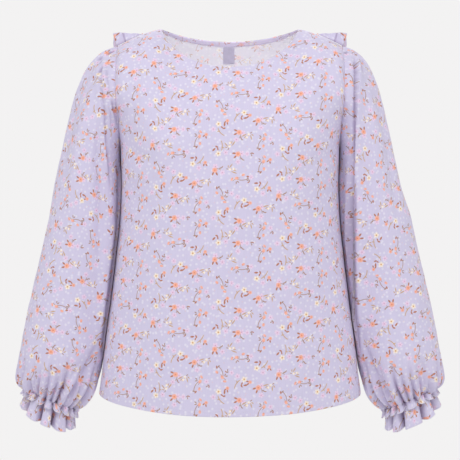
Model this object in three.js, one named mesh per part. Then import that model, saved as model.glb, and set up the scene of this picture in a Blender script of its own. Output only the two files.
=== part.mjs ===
// A woman's long-sleeved blouse in thin printed cloth, filled out as if worn: round neck with a
// narrow facing, curved hem, full sleeves set in with a little fullness, elastic wrists that end
// in a short heading and a fluted frill, and a small frill that stands on each shoulder seam.
// Millimetres. +Z is up, -Y is the front, +X is the wearer's left. The origin is midway between
// the two points where the shoulder seams meet the neck.
import * as THREE from "three";

// Cloth and seams
const CLOTH = 1.2; // thickness of the panels and sleeves
const FRILL_CLOTH = 1.0; // thickness of frills, facing and label
const SEAM_GAP = 0.3; // clear space between two pieces that are sewn together
const SLEEVE_GAP = 0.45; // the same between a sleeve and its armhole
const LIFT = 0.6; // clear space under a piece that lies on a curved panel

// Body
const NECK_HALF = 110; // centre to the neck end of the shoulder seam
const SHOULDER_HALF = 182; // centre to the armhole end of the shoulder seam
const SHOULDER_DROP = 28; // armhole end below the neck end
const SHOULDER_BEND = 1.4; // how late the shoulder seam turns down
const NECK_ROUND = 0.6; // power of the neck curve, seen from above
const SHOULDER_ROUND = 2.5; // more is squarer, over the shoulder
const ARMHOLE_ROUND = 5; // more is squarer, at the top of the armhole
const ARMHOLE_UPRIGHT = 0.62; // above this share of its height the armhole is as wide as the shoulder
const UNDERARM_Z = -195; // where the side seam meets the armhole
const HEM_SIDE_Z = -588; // hem at the side seams
const HEM_DIP = 27; // hem at the centre, below the side seams
const HEM_CURVE = 0.68; // how soon the hem drops away from the side seam
const SEAM_FADE = 8; // power of s with which folds and fullness fade out at a side seam

// Sections of the body down the side seam: half width, depth in front and behind, and the power
// of the curve between them (2 is an ellipse, more is squarer)
const BODY_LEVELS = [
  { z: -195, half: 176, front: 121, back: 100, power: 2.95 },
  { z: -250, half: 174.8, front: 128, back: 101, power: 2.65 },
  { z: -305, half: 177, front: 130, back: 101, power: 2.45 },
  { z: -358, half: 182.5, front: 130, back: 103, power: 2.4 },
  { z: -439, half: 192, front: 130, back: 109, power: 2.4 },
  { z: -513, half: 202, front: 132, back: 116, power: 2.35 },
  { z: -551, half: 206.5, front: 133, back: 119, power: 2.3 },
  { z: -588, half: 211, front: 134, back: 122, power: 2.3 },
];

// The neck edge and the body above the underarm, for each panel
const FRONT = {
  sign: -1, // which way along Y the panel lies
  depth: "front",
  neckDrop: 67,
  neckDepth: 72,
  neckFlat: 2.3, // powers of the neck curve, seen from the front
  neckRound: 0.72,
  armholeDepth: 58,
  chestSlope: 0.3, // how much of the way to the neck is a straight slope
  chestRound: 2.2, // power of the rest
};
const BACK = {
  sign: 1,
  depth: "back",
  neckDrop: 15.5,
  neckDepth: 50,
  neckFlat: 2,
  neckRound: 1,
  armholeDepth: 52,
  chestSlope: 0.05,
  chestRound: 2.4,
};
const CHEST_BLEND = [0.4, 0.8]; // s where the slope to the neck gives way to the round shoulder

// Soft folds that hang in the body, as ridges (+) or troughs (-). s runs from -1 to 1 across a
// panel, and a fold grows from its top to the hem.
const BODY_FOLDS = [
  { panel: "front", s: -0.72, width: 0.13, top: -330, depth: -4 },
  { panel: "front", s: -0.34, width: 0.16, top: -400, depth: 3 },
  { panel: "front", s: 0.2, width: 0.18, top: -420, depth: -3 },
  { panel: "front", s: 0.66, width: 0.13, top: -350, depth: -4 },
  { panel: "back", s: -0.6, width: 0.15, top: -330, depth: -6 },
  { panel: "back", s: -0.22, width: 0.17, top: -370, depth: 5 },
  { panel: "back", s: 0.18, width: 0.16, top: -350, depth: -5 },
  { panel: "back", s: 0.58, width: 0.16, top: -340, depth: 5 },
];

// Fullness over the bust, as soft rises of the front: middle, half sizes and depth
const FULLNESS = [
  { x: -104, z: -188, halfWidth: 46, halfHeight: 56, depth: 9 },
  { x: 106, z: -186, halfWidth: 46, halfHeight: 56, depth: 9 },
];

// Grid of a body panel
const NECK_COLUMNS = 5; // from the centre to the neck end of the shoulder seam
const SHOULDER_COLUMNS = 7; // along the shoulder seam
const BODY_ROWS = 8; // from the hem to the underarm
const ARMHOLE_STEPS = [20, 40, 60, 80, 100, 120, 138, 153, 166, 180]; // degrees up the armhole

// Sleeve, for the +X side: rings between an outer and an inner point, with depth to the front
// and back. Each ring is a row, from below the underarm to the elastic.
const SLEEVE_RINGS = [
  { outX: 273, outZ: -215, inX: 176, inZ: -236, front: 62, back: 60 },
  { outX: 293, outZ: -305, inX: 179, inZ: -322, front: 60, back: 58 },
  { outX: 304.5, outZ: -357, inX: 185.4, inZ: -376, front: 59, back: 58 },
  { outX: 316.5, outZ: -407, inX: 191.8, inZ: -428, front: 59, back: 58 },
  { outX: 328, outZ: -458, inX: 198.6, inZ: -480, front: 61, back: 59 },
  { outX: 337.5, outZ: -508, inX: 205, inZ: -529, front: 62, back: 60 },
  { outX: 341.5, outZ: -536, inX: 211, inZ: -557, front: 60, back: 58 },
  { outX: 341, outZ: -556, inX: 221, inZ: -582, front: 54, back: 52 },
  { outX: 338, outZ: -570, inX: 235, inZ: -601, front: 46, back: 44 },
  { outX: 329, outZ: -580, inX: 251, inZ: -613, front: 33, back: 32 },
];
const SLEEVE_COLUMNS = 44;
const CAP_ROWS = 6;
const CAP_START = { top: [0.99, -0.14], under: [0.12, -1], spread: 0.35 }; // x and z, and y
const CAP_REACH = { start: 0.29, end: 0.46 }; // handle lengths, as shares of the distance
const SLEEVE_STATIONS = [0.7, 1.5, 2.3, 3.2, 4.1, 5, 5.7, 6.5, 7.3, 8.2, 9]; // ring numbers

// Gathers at the elastic
const GATHERS = 11;
const GATHER_DEPTH = 2.6;
const GATHER_START = 5.6; // ring number where the gathers begin to show
const GATHER_FULL = 8.4; // ring number where they have their whole depth
const GATHER_END_SHARE = 0.5; // of the depth, left at the elastic itself

// Folds of the sleeves. Angle is round the sleeve in degrees: 0 outside, 90 front, 180 inside,
// 270 back. from and to are ring numbers, and minus numbers are on the cap.
const FOLD_ENDS = [0.35, 0.7]; // shares of its length where a fold is fully swollen, and begins to fade
const SLEEVE_FOLDS = {
  left: [
    { angle: 138, endAngle: 156, width: 10, from: -0.4, to: 5.4, depth: 9 },
    { angle: 124, endAngle: 156, width: 7, from: -0.6, to: 4.2, depth: -8 },
    { angle: 112, endAngle: 144, width: 8, from: -0.6, to: 4.2, depth: 4 },
    { angle: 38, endAngle: 55, width: 12, from: -0.95, to: 1.2, depth: -5 },
    { angle: 4, endAngle: 8, width: 26, from: -0.97, to: 1, depth: -5 },
    { angle: 150, endAngle: 118, width: 11, from: 4.6, to: 8.8, depth: -8 },
    { angle: 60, endAngle: 76, width: 12, from: 5.2, to: 8.8, depth: -6 },
    { angle: 262, endAngle: 250, width: 16, from: -0.6, to: 5.5, depth: -7 },
    { angle: 310, endAngle: 300, width: 14, from: 3.2, to: 8.8, depth: -6 },
  ],
  right: [
    { angle: 134, endAngle: 152, width: 12, from: -0.4, to: 5.4, depth: 10 },
    { angle: 90, endAngle: 128, width: 9, from: -0.9, to: 0.9, depth: -4 },
    { angle: 60, endAngle: 66, width: 10, from: -0.95, to: 0.8, depth: 4 },
    { angle: 24, endAngle: 26, width: 12, from: -0.97, to: 0.2, depth: -5 },
    { angle: 356, endAngle: 354, width: 26, from: -0.99, to: 1, depth: 3.5 },
    { angle: 148, endAngle: 112, width: 11, from: 4.4, to: 8.8, depth: -8 },
    { angle: 118, endAngle: 88, width: 10, from: 5, to: 8.8, depth: -6 },
    { angle: 266, endAngle: 254, width: 16, from: -0.6, to: 5.2, depth: -7 },
    { angle: 306, endAngle: 296, width: 14, from: 3.4, to: 8.8, depth: -6 },
  ],
};

// Frills below the elastic. flare moves a frill out, wave is the height of its flutes, and both
// grow from their start to the free edge.
const CUFF_FRILL = {
  length: 40,
  sideLoss: 0.3, // share of the length lost at the two ends of the flat wrist
  scallop: 0.06, // share of the length that a flute's crest gains and its trough loses
  waves: 10,
  perWave: 6,
  rows: 3,
  start: { out: -1.9, wave: 0.3 },
  flare: 5.5,
  wave: 7.2,
  bend: 0.9, // power of the growth towards the free edge
  plump: 0.45, // how far a flute's crest widens and its trough narrows, in radians of its wave
};
const CUFF_HANG = 0.6; // how far both frills hang from the sleeve's line (0) to straight down (1)
const CUFF_HEADING = {
  length: 12.5,
  sideLoss: 0,
  scallop: 0.24,
  waves: 14,
  perWave: 5,
  rows: 2,
  start: { out: 0.6, wave: 0.3 },
  flare: 6.2,
  wave: 3.4,
  bend: 0.8,
  plump: 0.3,
};

// Frill on the shoulder: along the shoulder seam to the armhole, and a little down the back of
// it. Shares run from 0 at its inner end to 1 at its end behind.
const SHOULDER_FRILL = {
  inner: 141, // where it tapers out on the shoulder seam
  backAngle: 62, // degrees round the armhole, where it tapers out behind
  footSteps: 5, // points of its foot on the shoulder seam, and again behind
  top: -5, // its top edge is level along the shoulder
  foot: 2, // height where it tapers out
  taper: 0.62, // share where it begins to lose height
  lean: { seam: [0.06, 0.2], behind: [0.25, 0.5], turn: [0.35, 0.75] }, // x and y for each 1 of z
  columns: 30,
  rows: 3,
  waves: 3.5,
  wave: 4.5,
  waveEnds: [0.2, 0.85], // shares between which it has its whole wave
};

// Facing inside the back neck and the plain label that hangs from it, as lengths down from the
// neck edge, and the label's points across
const FACING_LINES = [8, 4, 0.6];
const LABEL = { lines: [37, 30, 20, 8.6], edges: [-10, 0, 8] };

const radians = (degrees) => (degrees * Math.PI) / 180;
const mix = (a, b, share) => a + (b - a) * share;
const smooth = (from, to, value) => {
  const share = THREE.MathUtils.clamp((value - from) / (to - from), 0, 1);
  return share * share * (3 - 2 * share);
};
const bell = (distance, width) => Math.exp(-((distance / width) ** 2));
const seamFade = (s) => 1 - s ** SEAM_FADE;

// One column of a table at a place between its rows, on a Catmull-Rom curve.
function column(table, key, place) {
  const last = table.length - 1;
  const i = Math.min(Math.max(Math.floor(place), 0), last - 1);
  const at = (k) => table[Math.min(Math.max(k, 0), last)][key];
  const t = place - i;
  const [p0, p1, p2, p3] = [at(i - 1), at(i), at(i + 1), at(i + 2)];
  const bend = (2 * p0 - 5 * p1 + 4 * p2 - p3) * t * t + (3 * (p1 - p2) + p3 - p0) * t ** 3;
  return 0.5 * (2 * p1 + (p2 - p0) * t + bend);
}

// The place of a height in a table whose z goes down.
function placeOf(table, z) {
  const last = table.length - 1;
  const below = table.findIndex((row, k) => k > 0 && (row.z < z || k === last));
  const above = table[below - 1];
  return below - 1 + (above.z - z) / (above.z - table[below].z);
}

const bodyAt = (key, z) => column(BODY_LEVELS, key, placeOf(BODY_LEVELS, z));

// Half width of the armhole edge, from the underarm (0) to the shoulder (1).
const armholeHalf = (rise) =>
  mix(BODY_LEVELS[0].half, SHOULDER_HALF, smooth(0, ARMHOLE_UPRIGHT, rise));

// Height and depth of a panel's top edge: the neck curve inside NECK_SHARE, the seam outside it.
const NECK_SHARE = NECK_HALF / SHOULDER_HALF;
function topEdge(panel, s) {
  const across = Math.abs(s);
  if (across >= NECK_SHARE) {
    const out = (across - NECK_SHARE) / (1 - NECK_SHARE);
    return { z: -SHOULDER_DROP * out ** SHOULDER_BEND, depth: SEAM_GAP / 2 };
  }
  const t = across / NECK_SHARE;
  return {
    z: -panel.neckDrop * (1 - t ** panel.neckFlat) ** panel.neckRound,
    depth: SEAM_GAP / 2 + panel.neckDepth * (1 - t * t) ** NECK_ROUND,
  };
}

// Depth of a section of the body, s of the way from its centre to its side.
const sectionDepth = (full, s, power) => full * (1 - Math.abs(s) ** power) ** (1 / power);

function bodyFold(panel, s, z) {
  return BODY_FOLDS.filter((fold) => fold.panel === panel.depth).reduce(
    (sum, fold) => sum + fold.depth * bell(s - fold.s, fold.width) * smooth(fold.top, HEM_SIDE_Z, z),
    0,
  );
}

function fullness(panel, x, z) {
  if (panel !== FRONT) return 0;
  const rise = ({ x: middle, z: level, halfWidth, halfHeight, depth }) =>
    depth * bell(Math.hypot((x - middle) / halfWidth, (z - level) / halfHeight), 1);
  return FULLNESS.reduce((sum, row) => sum + rise(row), 0);
}

// A point of a panel below the underarm. fall runs from 0 at the underarm to 1 at the hem.
function lowerPoint(panel, s, fall) {
  const hem = HEM_SIDE_Z - HEM_DIP * (1 - s * s) ** HEM_CURVE;
  const z = mix(UNDERARM_Z, hem, fall);
  const level = Math.max(z, HEM_SIDE_Z);
  const x = s * bodyAt("half", level);
  const section = sectionDepth(bodyAt(panel.depth, level), s, bodyAt("power", level));
  const depth = section + (bodyFold(panel, s, z) + fullness(panel, x, z)) * seamFade(s);
  return new THREE.Vector3(x, panel.sign * (depth + SEAM_GAP / 2), z);
}

// A point of a panel above the underarm. rise runs from 0 at the underarm to 1 at the top edge.
// The section there is the underarm's own, cut off where it is as deep as the armhole.
function upperPoint(panel, s, rise) {
  const top = topEdge(panel, s);
  const { power, [panel.depth]: full } = BODY_LEVELS[0];
  const armhole = panel.armholeDepth * 2 * Math.sqrt(Math.max(rise - rise * rise, 0));
  const cut = sectionDepth(1, armhole / full, power);
  const section = sectionDepth(full, s * cut, power);
  const squareness = mix(SHOULDER_ROUND, ARMHOLE_ROUND, s ** SEAM_FADE);
  const round = Math.sqrt(Math.max(1 - rise ** squareness, 0));
  const slope = 1 - mix(rise ** panel.chestRound, rise, panel.chestSlope);
  const share = mix(slope, round, smooth(...CHEST_BLEND, Math.abs(s)));
  const x = s * armholeHalf(rise);
  const z = mix(UNDERARM_Z, top.z, rise);
  const over = fullness(panel, x, z) * seamFade(s) * (1 - rise);
  const depth = mix(top.depth, section + SEAM_GAP / 2, share) + over;
  return new THREE.Vector3(x, panel.sign * depth, z);
}

// The columns of a panel, as s from -1 to 1, closer together towards the side seams.
function panelColumns() {
  const neckAngle = Math.asin(NECK_SHARE);
  const half = [];
  for (let i = 1; i <= NECK_COLUMNS; i++) half.push(Math.sin((neckAngle * i) / NECK_COLUMNS));
  for (let i = 1; i <= SHOULDER_COLUMNS; i++)
    half.push(Math.sin(mix(neckAngle, Math.PI / 2, i / SHOULDER_COLUMNS)));
  return [...half.map((s) => -s).reverse(), 0, ...half];
}

const armholeRises = ARMHOLE_STEPS.map((angle) => (1 - Math.cos(radians(angle))) / 2);

function panelGrid(panel) {
  const columns = panelColumns();
  const rows = [];
  for (let i = 0; i <= BODY_ROWS; i++)
    rows.push(columns.map((s) => lowerPoint(panel, s, 1 - i / BODY_ROWS)));
  for (const rise of armholeRises) rows.push(columns.map((s) => upperPoint(panel, s, rise)));
  return rows;
}

// Outward normals of a grid of points, from the directions along its rows and columns.
function gridNormals(grid, closed, turn) {
  const last = grid.length - 1;
  const count = grid[0].length;
  const wrap = (j) => (closed ? (j + count) % count : Math.min(Math.max(j, 0), count - 1));
  return grid.map((row, i) =>
    row.map((_, j) => {
      const along = row[wrap(j + 1)].clone().sub(row[wrap(j - 1)]);
      const up = grid[Math.min(i + 1, last)][j].clone().sub(grid[Math.max(i - 1, 0)][j]);
      return along.cross(up).normalize().multiplyScalar(turn);
    }),
  );
}

// The grid moved along its normals.
function moved(grid, normals, distance) {
  return grid.map((row, i) => row.map((p, j) => p.clone().addScaledVector(normals[i][j], distance)));
}

// A closed wall between two grids. A closed grid is a tube, whose two ends are capped.
function wall(outer, inner, closed, turn) {
  const rows = outer.length;
  const count = outer[0].length;
  const positions = [...outer.flat(), ...inner.flat()].flatMap((p) => [p.x, p.y, p.z]);
  const faces = [];
  const id = (side, i, j) => side * rows * count + i * count + (j % count);
  const quad = (a, b, c, d) => {
    if (turn > 0) faces.push(a, b, c, a, c, d);
    else faces.push(a, c, b, a, d, c);
  };
  const spans = closed ? count : count - 1;
  for (let i = 0; i < rows - 1; i++)
    for (let j = 0; j < spans; j++) {
      quad(id(0, i, j), id(0, i, j + 1), id(0, i + 1, j + 1), id(0, i + 1, j));
      quad(id(1, i, j), id(1, i + 1, j), id(1, i + 1, j + 1), id(1, i, j + 1));
    }
  for (let j = 0; j < spans; j++) {
    quad(id(0, 0, j), id(1, 0, j), id(1, 0, j + 1), id(0, 0, j + 1));
    quad(id(0, rows - 1, j), id(0, rows - 1, j + 1), id(1, rows - 1, j + 1), id(1, rows - 1, j));
  }
  if (!closed)
    for (let i = 0; i < rows - 1; i++) {
      quad(id(0, i, 0), id(0, i + 1, 0), id(1, i + 1, 0), id(1, i, 0));
      const end = count - 1;
      quad(id(0, i, end), id(1, i, end), id(1, i + 1, end), id(0, i + 1, end));
    }
  const geometry = new THREE.BufferGeometry();
  geometry.setAttribute("position", new THREE.Float32BufferAttribute(positions, 3));
  geometry.setIndex(faces);
  geometry.computeVertexNormals();
  return geometry;
}

// Normals of a panel. On the side and shoulder seams, which lie near the plane y = 0, they have
// no y, so that the gap to the other panel keeps its width through the cloth.
function panelNormals(grid, turn) {
  const normals = gridNormals(grid, false, turn);
  grid.forEach((row, i) =>
    row.forEach((p, j) => {
      if (Math.abs(p.y) < SEAM_GAP) normals[i][j].setY(0).normalize();
    }),
  );
  return normals;
}

// Front and back panels
const FRONT_TURN = 1;
const BACK_TURN = -1;
const frontGrid = panelGrid(FRONT);
const backGrid = panelGrid(BACK);
const frontNormals = panelNormals(frontGrid, FRONT_TURN);
const backNormals = panelNormals(backGrid, BACK_TURN);

// A ring of the sleeve between two stations of its table, at an angle round the sleeve.
function ringPoint(place, angle) {
  const at = (key) => column(SLEEVE_RINGS, key, place);
  const reach = (1 + Math.cos(angle)) / 2;
  const forward = Math.sin(angle);
  return new THREE.Vector3(
    mix(at("inX"), at("outX"), reach),
    -forward * at(forward > 0 ? "front" : "back"),
    mix(at("inZ"), at("outZ"), reach),
  );
}

// The armhole edge of the body at an angle round the sleeve, on the straight sides between the
// panels' own rows, so that the sleeve meets them all round.
function armholePoint(angle) {
  const front = Math.sin(angle) >= 0;
  const grid = front ? frontGrid : backGrid;
  const edge = grid.slice(BODY_ROWS).map((row) => row.at(-1));
  const steps = [0, ...ARMHOLE_STEPS];
  const up = 180 - THREE.MathUtils.radToDeg(Math.acos(Math.cos(angle)));
  const i = Math.min(
    steps.findLastIndex((step) => step <= up + 1e-9),
    steps.length - 2,
  );
  return edge[i].clone().lerp(edge[i + 1], (up - steps[i]) / (steps[i + 1] - steps[i]));
}

// The cap: a curve from the armhole to the first ring, for each angle. share runs from 0 to 1.
function capPoint(share, angle) {
  const start = armholePoint(angle);
  start.x += SLEEVE_GAP;
  const end = ringPoint(0, angle);
  const under = (1 - Math.cos(angle)) / 2;
  const leave = new THREE.Vector3(
    mix(CAP_START.top[0], CAP_START.under[0], under),
    -CAP_START.spread * Math.sin(angle),
    mix(CAP_START.top[1], CAP_START.under[1], under),
  ).normalize();
  const arrive = ringPoint(0.5, angle).sub(end).normalize();
  const distance = start.distanceTo(end);
  return new THREE.CubicBezierCurve3(
    start,
    start.clone().addScaledVector(leave, distance * CAP_REACH.start),
    end.clone().addScaledVector(arrive, -distance * CAP_REACH.end),
    end,
  ).getPoint(share);
}

// How far folds and gathers move the sleeve's cloth out, at a place on it.
function sleeveFold(folds, place, angle) {
  let out = 0;
  const degrees = THREE.MathUtils.radToDeg(angle);
  for (const fold of folds) {
    const along = (place - fold.from) / (fold.to - fold.from);
    if (along <= 0 || along >= 1) continue;
    const away = degrees - mix(fold.angle, fold.endAngle, along);
    const nearest = away - 360 * Math.round(away / 360);
    const swell = smooth(0, FOLD_ENDS[0], along) * smooth(1, FOLD_ENDS[1], along);
    out += fold.depth * bell(nearest, fold.width) * swell;
  }
  const last = SLEEVE_RINGS.length - 1;
  const fade = mix(1, GATHER_END_SHARE, smooth(last - 1, last, place));
  const gather = smooth(GATHER_START, GATHER_FULL, place) * fade;
  return out + GATHER_DEPTH * gather * Math.cos(GATHERS * angle);
}

// Sleeve rings from the armhole to the elastic, for one side.
function sleeveGrid(side) {
  const folds = SLEEVE_FOLDS[side];
  const angles = Array.from({ length: SLEEVE_COLUMNS }, (_, j) => (j * 2 * Math.PI) / SLEEVE_COLUMNS);
  const rows = [];
  for (let i = 0; i <= CAP_ROWS; i++) rows.push({ place: i / CAP_ROWS - 1, point: capPoint });
  for (const place of SLEEVE_STATIONS) rows.push({ place, point: null });
  const plain = rows.map(({ place, point }) =>
    angles.map((angle) => (point ? point(place + 1, angle) : ringPoint(place, angle))),
  );
  const normals = sleeveNormals(plain);
  return plain.map((row, i) =>
    row.map((p, j) => p.addScaledVector(normals[i][j], sleeveFold(folds, rows[i].place, angles[j]))),
  );
}

// Normals of a sleeve. At the elastic they lie in its ring's own plane.
function sleeveNormals(grid) {
  const normals = gridNormals(grid, true, 1);
  const axis = elasticFrame().axis;
  for (const normal of normals.at(-1)) normal.projectOnPlane(axis).normalize();
  return normals;
}

// The elastic's centre, and the direction in which the hand would leave it.
function elasticFrame() {
  const last = SLEEVE_RINGS.length - 1;
  const outer = ringPoint(last, 0);
  const inner = ringPoint(last, Math.PI);
  const across = outer.clone().sub(inner).normalize();
  return {
    centre: outer.add(inner).multiplyScalar(0.5),
    axis: new THREE.Vector3(across.z, 0, -across.x),
  };
}

// A fluted frill that hangs from the elastic. share runs from 0 at the elastic to 1 at its edge.
function frillGrid(frill) {
  const elastic = SLEEVE_RINGS.length - 1;
  const { centre, axis } = elasticFrame();
  const hang = axis.clone().lerp(new THREE.Vector3(0, 0, -1), CUFF_HANG).normalize();
  const count = frill.waves * frill.perWave;
  const rows = [];
  for (let i = 0; i <= frill.rows; i++) {
    const share = i / frill.rows;
    const growth = share ** frill.bend;
    const row = [];
    for (let j = 0; j < count; j++) {
      const angle = (j * 2 * Math.PI) / count;
      const flute = frill.waves * angle + Math.PI;
      const wave = Math.cos(flute - frill.plump * growth * Math.sin(flute));
      const p = ringPoint(elastic, angle);
      const outward = p.clone().sub(centre).normalize();
      const out = frill.start.out + frill.flare * growth;
      const height = frill.start.wave + frill.wave * growth;
      const sides = 1 - frill.sideLoss * Math.cos(angle) ** 4;
      const length = share * frill.length * sides * (1 + frill.scallop * wave);
      p.addScaledVector(outward, out + height * wave);
      row.push(p.addScaledVector(axis, SEAM_GAP).addScaledVector(hang, length));
    }
    rows.push(row);
  }
  return rows;
}

// The frill on the shoulder: a ribbon from its seam up, tapering to nothing at both ends.
function shoulderFrillGrid() {
  const frill = SHOULDER_FRILL;
  const seam = [];
  const seamShare = (SHOULDER_HALF - frill.inner) / SHOULDER_HALF;
  for (let i = 0; i <= frill.footSteps; i++) {
    const s = 1 - seamShare * (1 - i / frill.footSteps);
    seam.push(new THREE.Vector3(s * SHOULDER_HALF, 0, topEdge(FRONT, s).z));
  }
  for (let i = 1; i <= frill.footSteps; i++)
    seam.push(armholePoint(2 * Math.PI - radians((frill.backAngle * i) / frill.footSteps)));
  const base = new THREE.CatmullRomCurve3(seam, false, "centripetal");
  const rows = [];
  for (let i = 0; i <= frill.rows; i++) rows.push([]);
  for (let j = 0; j <= frill.columns; j++) {
    const t = j / frill.columns;
    const foot = base.getPointAt(t);
    const along = base.getTangentAt(t);
    const turned = smooth(...frill.lean.turn, t);
    const [x, y] = [0, 1].map((k) => mix(frill.lean.seam[k], frill.lean.behind[k], turned));
    const stand = new THREE.Vector3(x, y, 1).normalize();
    const aside = along.clone().cross(stand).normalize();
    const full = Math.min(frill.top - foot.z, frill.top + SHOULDER_DROP);
    const height = Math.max(full * smooth(1, frill.taper, t), frill.foot);
    const sway = frill.wave * smooth(0, frill.waveEnds[0], t) * smooth(1, frill.waveEnds[1], t);
    for (let i = 0; i <= frill.rows; i++) {
      const share = i / frill.rows;
      const wave = sway * share * Math.sin(2 * Math.PI * frill.waves * t);
      const p = foot.clone().addScaledVector(stand, LIFT + CLOTH / 2 + share * height);
      rows[i].push(p.addScaledVector(aside, wave));
    }
  }
  return rows;
}

// A strip that lies inside the back, from the back's own points. Each line is a list of points
// with their outward normals, and the strip is moved inwards clear of the panel.
function insideStrip(lines) {
  const moveIn = (depth) =>
    lines.map((line) => line.map(({ point, normal }) => point.clone().addScaledVector(normal, -depth)));
  const depth = CLOTH + LIFT;
  return wall(moveIn(depth), moveIn(depth + FRILL_CLOTH), false, BACK_TURN);
}

// A place on a column of the back, a length down from its neck edge.
function downTheBack(column, length) {
  let left = length;
  let i = backGrid.length - 1;
  let step = backGrid[i][column].distanceTo(backGrid[i - 1][column]);
  while (left > step) {
    left -= step;
    i -= 1;
    step = backGrid[i][column].distanceTo(backGrid[i - 1][column]);
  }
  const share = left / step;
  return {
    point: backGrid[i][column].clone().lerp(backGrid[i - 1][column], share),
    normal: backNormals[i][column].clone().lerp(backNormals[i - 1][column], share).normalize(),
  };
}

// The facing follows the back's neck edge from one shoulder seam to the other.
function facing() {
  const first = SHOULDER_COLUMNS;
  const columns = Array.from({ length: 2 * NECK_COLUMNS + 1 }, (_, i) => first + i);
  return insideStrip(FACING_LINES.map((length) => columns.map((column) => downTheBack(column, length))));
}

// The label hangs from the facing, between the back's middle columns.
function label() {
  const middle = SHOULDER_COLUMNS + NECK_COLUMNS;
  const lines = LABEL.lines.map((length) => {
    const [right, centre, left] = [-1, 0, 1].map((step) => downTheBack(middle + step, length));
    return LABEL.edges.map((x) => {
      const side = x < 0 ? right : left;
      const share = (x - centre.point.x) / (side.point.x - centre.point.x);
      return {
        point: centre.point.clone().lerp(side.point, share),
        normal: centre.normal.clone().lerp(side.normal, share),
      };
    });
  });
  return insideStrip(lines);
}

const LILAC = 0xcfc9e6;
const PALE_LILAC = 0xdcd6ec;
const LABEL_GREY = 0xa7a3bd;
const cloth = (name, colour) =>
  new THREE.MeshStandardMaterial({ name, color: colour, roughness: 0.85, metalness: 0 });

const blouse = new THREE.Group();
function add(name, geometry, colour = LILAC) {
  const mesh = new THREE.Mesh(geometry, cloth(name, colour));
  mesh.name = name;
  blouse.add(mesh);
}

// The same grid on the other side of the body.
const mirrored = (grid) => grid.map((row) => row.map((p) => new THREE.Vector3(-p.x, p.y, p.z)));

// A closed wall whose outer face is the grid.
const clothWall = (grid, normals, closed, turn, thickness) =>
  wall(grid, moved(grid, normals, -thickness), closed, turn);

add("front", clothWall(frontGrid, frontNormals, false, FRONT_TURN, CLOTH));
add("back", clothWall(backGrid, backNormals, false, BACK_TURN, CLOTH));
for (const side of ["left", "right"]) {
  const turn = side === "left" ? 1 : -1;
  const place = side === "left" ? (grid) => grid : mirrored;
  const tube = (grid, normals, thickness) =>
    clothWall(place(grid), place(normals), true, turn, thickness);
  const sleeve = sleeveGrid(side);
  add(`sleeve_${side}`, tube(sleeve, sleeveNormals(sleeve), CLOTH));
  for (const [name, frill] of [["cuff_frill", CUFF_FRILL], ["cuff_heading", CUFF_HEADING]]) {
    const grid = frillGrid(frill);
    add(`${name}_${side}`, tube(grid, gridNormals(grid, true, 1), FRILL_CLOTH));
  }
  const ribbon = shoulderFrillGrid();
  const normals = gridNormals(ribbon, false, 1);
  const face = (distance) => place(moved(ribbon, normals, distance));
  add(`shoulder_frill_${side}`, wall(face(FRILL_CLOTH / 2), face(-FRILL_CLOTH / 2), false, turn));
}
add("neck_facing", facing(), PALE_LILAC);
add("label", label(), LABEL_GREY);

export default blouse;
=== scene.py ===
import math

import bpy
import numpy as np
from bpy.props import FloatProperty, FloatVectorProperty, IntProperty, PointerProperty
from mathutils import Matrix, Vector


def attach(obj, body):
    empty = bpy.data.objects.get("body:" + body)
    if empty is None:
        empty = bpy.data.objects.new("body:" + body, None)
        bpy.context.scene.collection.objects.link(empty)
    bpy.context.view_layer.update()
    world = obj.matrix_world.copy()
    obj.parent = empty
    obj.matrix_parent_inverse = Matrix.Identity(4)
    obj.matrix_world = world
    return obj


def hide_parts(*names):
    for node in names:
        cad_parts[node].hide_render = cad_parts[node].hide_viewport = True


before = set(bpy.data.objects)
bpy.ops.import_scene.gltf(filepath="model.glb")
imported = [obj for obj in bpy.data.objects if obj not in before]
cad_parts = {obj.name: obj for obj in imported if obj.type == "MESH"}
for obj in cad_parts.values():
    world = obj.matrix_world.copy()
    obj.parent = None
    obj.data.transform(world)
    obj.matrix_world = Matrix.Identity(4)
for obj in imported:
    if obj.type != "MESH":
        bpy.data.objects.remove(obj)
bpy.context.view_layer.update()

bl_info = {
    "name": "Printed Blouse",
    "version": (1, 0, 0),
    "blender": (4, 5, 0),
    "location": "3D View > Sidebar > Blouse",
    "description": "Makes a long-sleeved blouse in thin printed cloth over its CAD frame",
    "category": "Object",
}

# Shapes are worked out in millimetres and written to the meshes in metres. +Z is up, -Y is the
# front and +X is the wearer's left, so a "left" piece is on the +X side.
MM = 0.001

# Sizes shared with the frame.

NECK_HALF = 110  # centre to the neck end of the shoulder seam
SHOULDER_HALF = 182  # centre to the armhole end of the shoulder seam
SHOULDER_DROP = 28
SHOULDER_BEND = 1.4
NECK_SHARE = NECK_HALF / SHOULDER_HALF
NECK_ROUND = 0.6
NECK_SPREAD = 0.16  # how widely the rows below the neck edge even it out
SHOULDER_ROUND = 2.5
ARMHOLE_ROUND = 5
ARMHOLE_UPRIGHT = 0.62
UNDERARM = -195
HEM_SIDE = -588
HEM_DIP = 27
HEM_CURVE = 0.68
HALF_SEAM = 0.03  # from the side and shoulder seams to the cloth on either side of them

# Sections of the body: height, half width, depth in front and behind, power of the curve
Z, HALF, FRONT_DEPTH, BACK_DEPTH, POWER = range(5)
BODY_LEVELS = np.array(
    [
        (-195, 176, 121, 100, 2.95),
        (-250, 174.8, 128, 101, 2.65),
        (-305, 177, 130, 101, 2.45),
        (-358, 182.5, 130, 103, 2.4),
        (-439, 192, 130, 109, 2.4),
        (-513, 202, 132, 116, 2.35),
        (-551, 206.5, 133, 119, 2.3),
        (-588, 211, 134, 122, 2.3),
    ]
)

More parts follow.
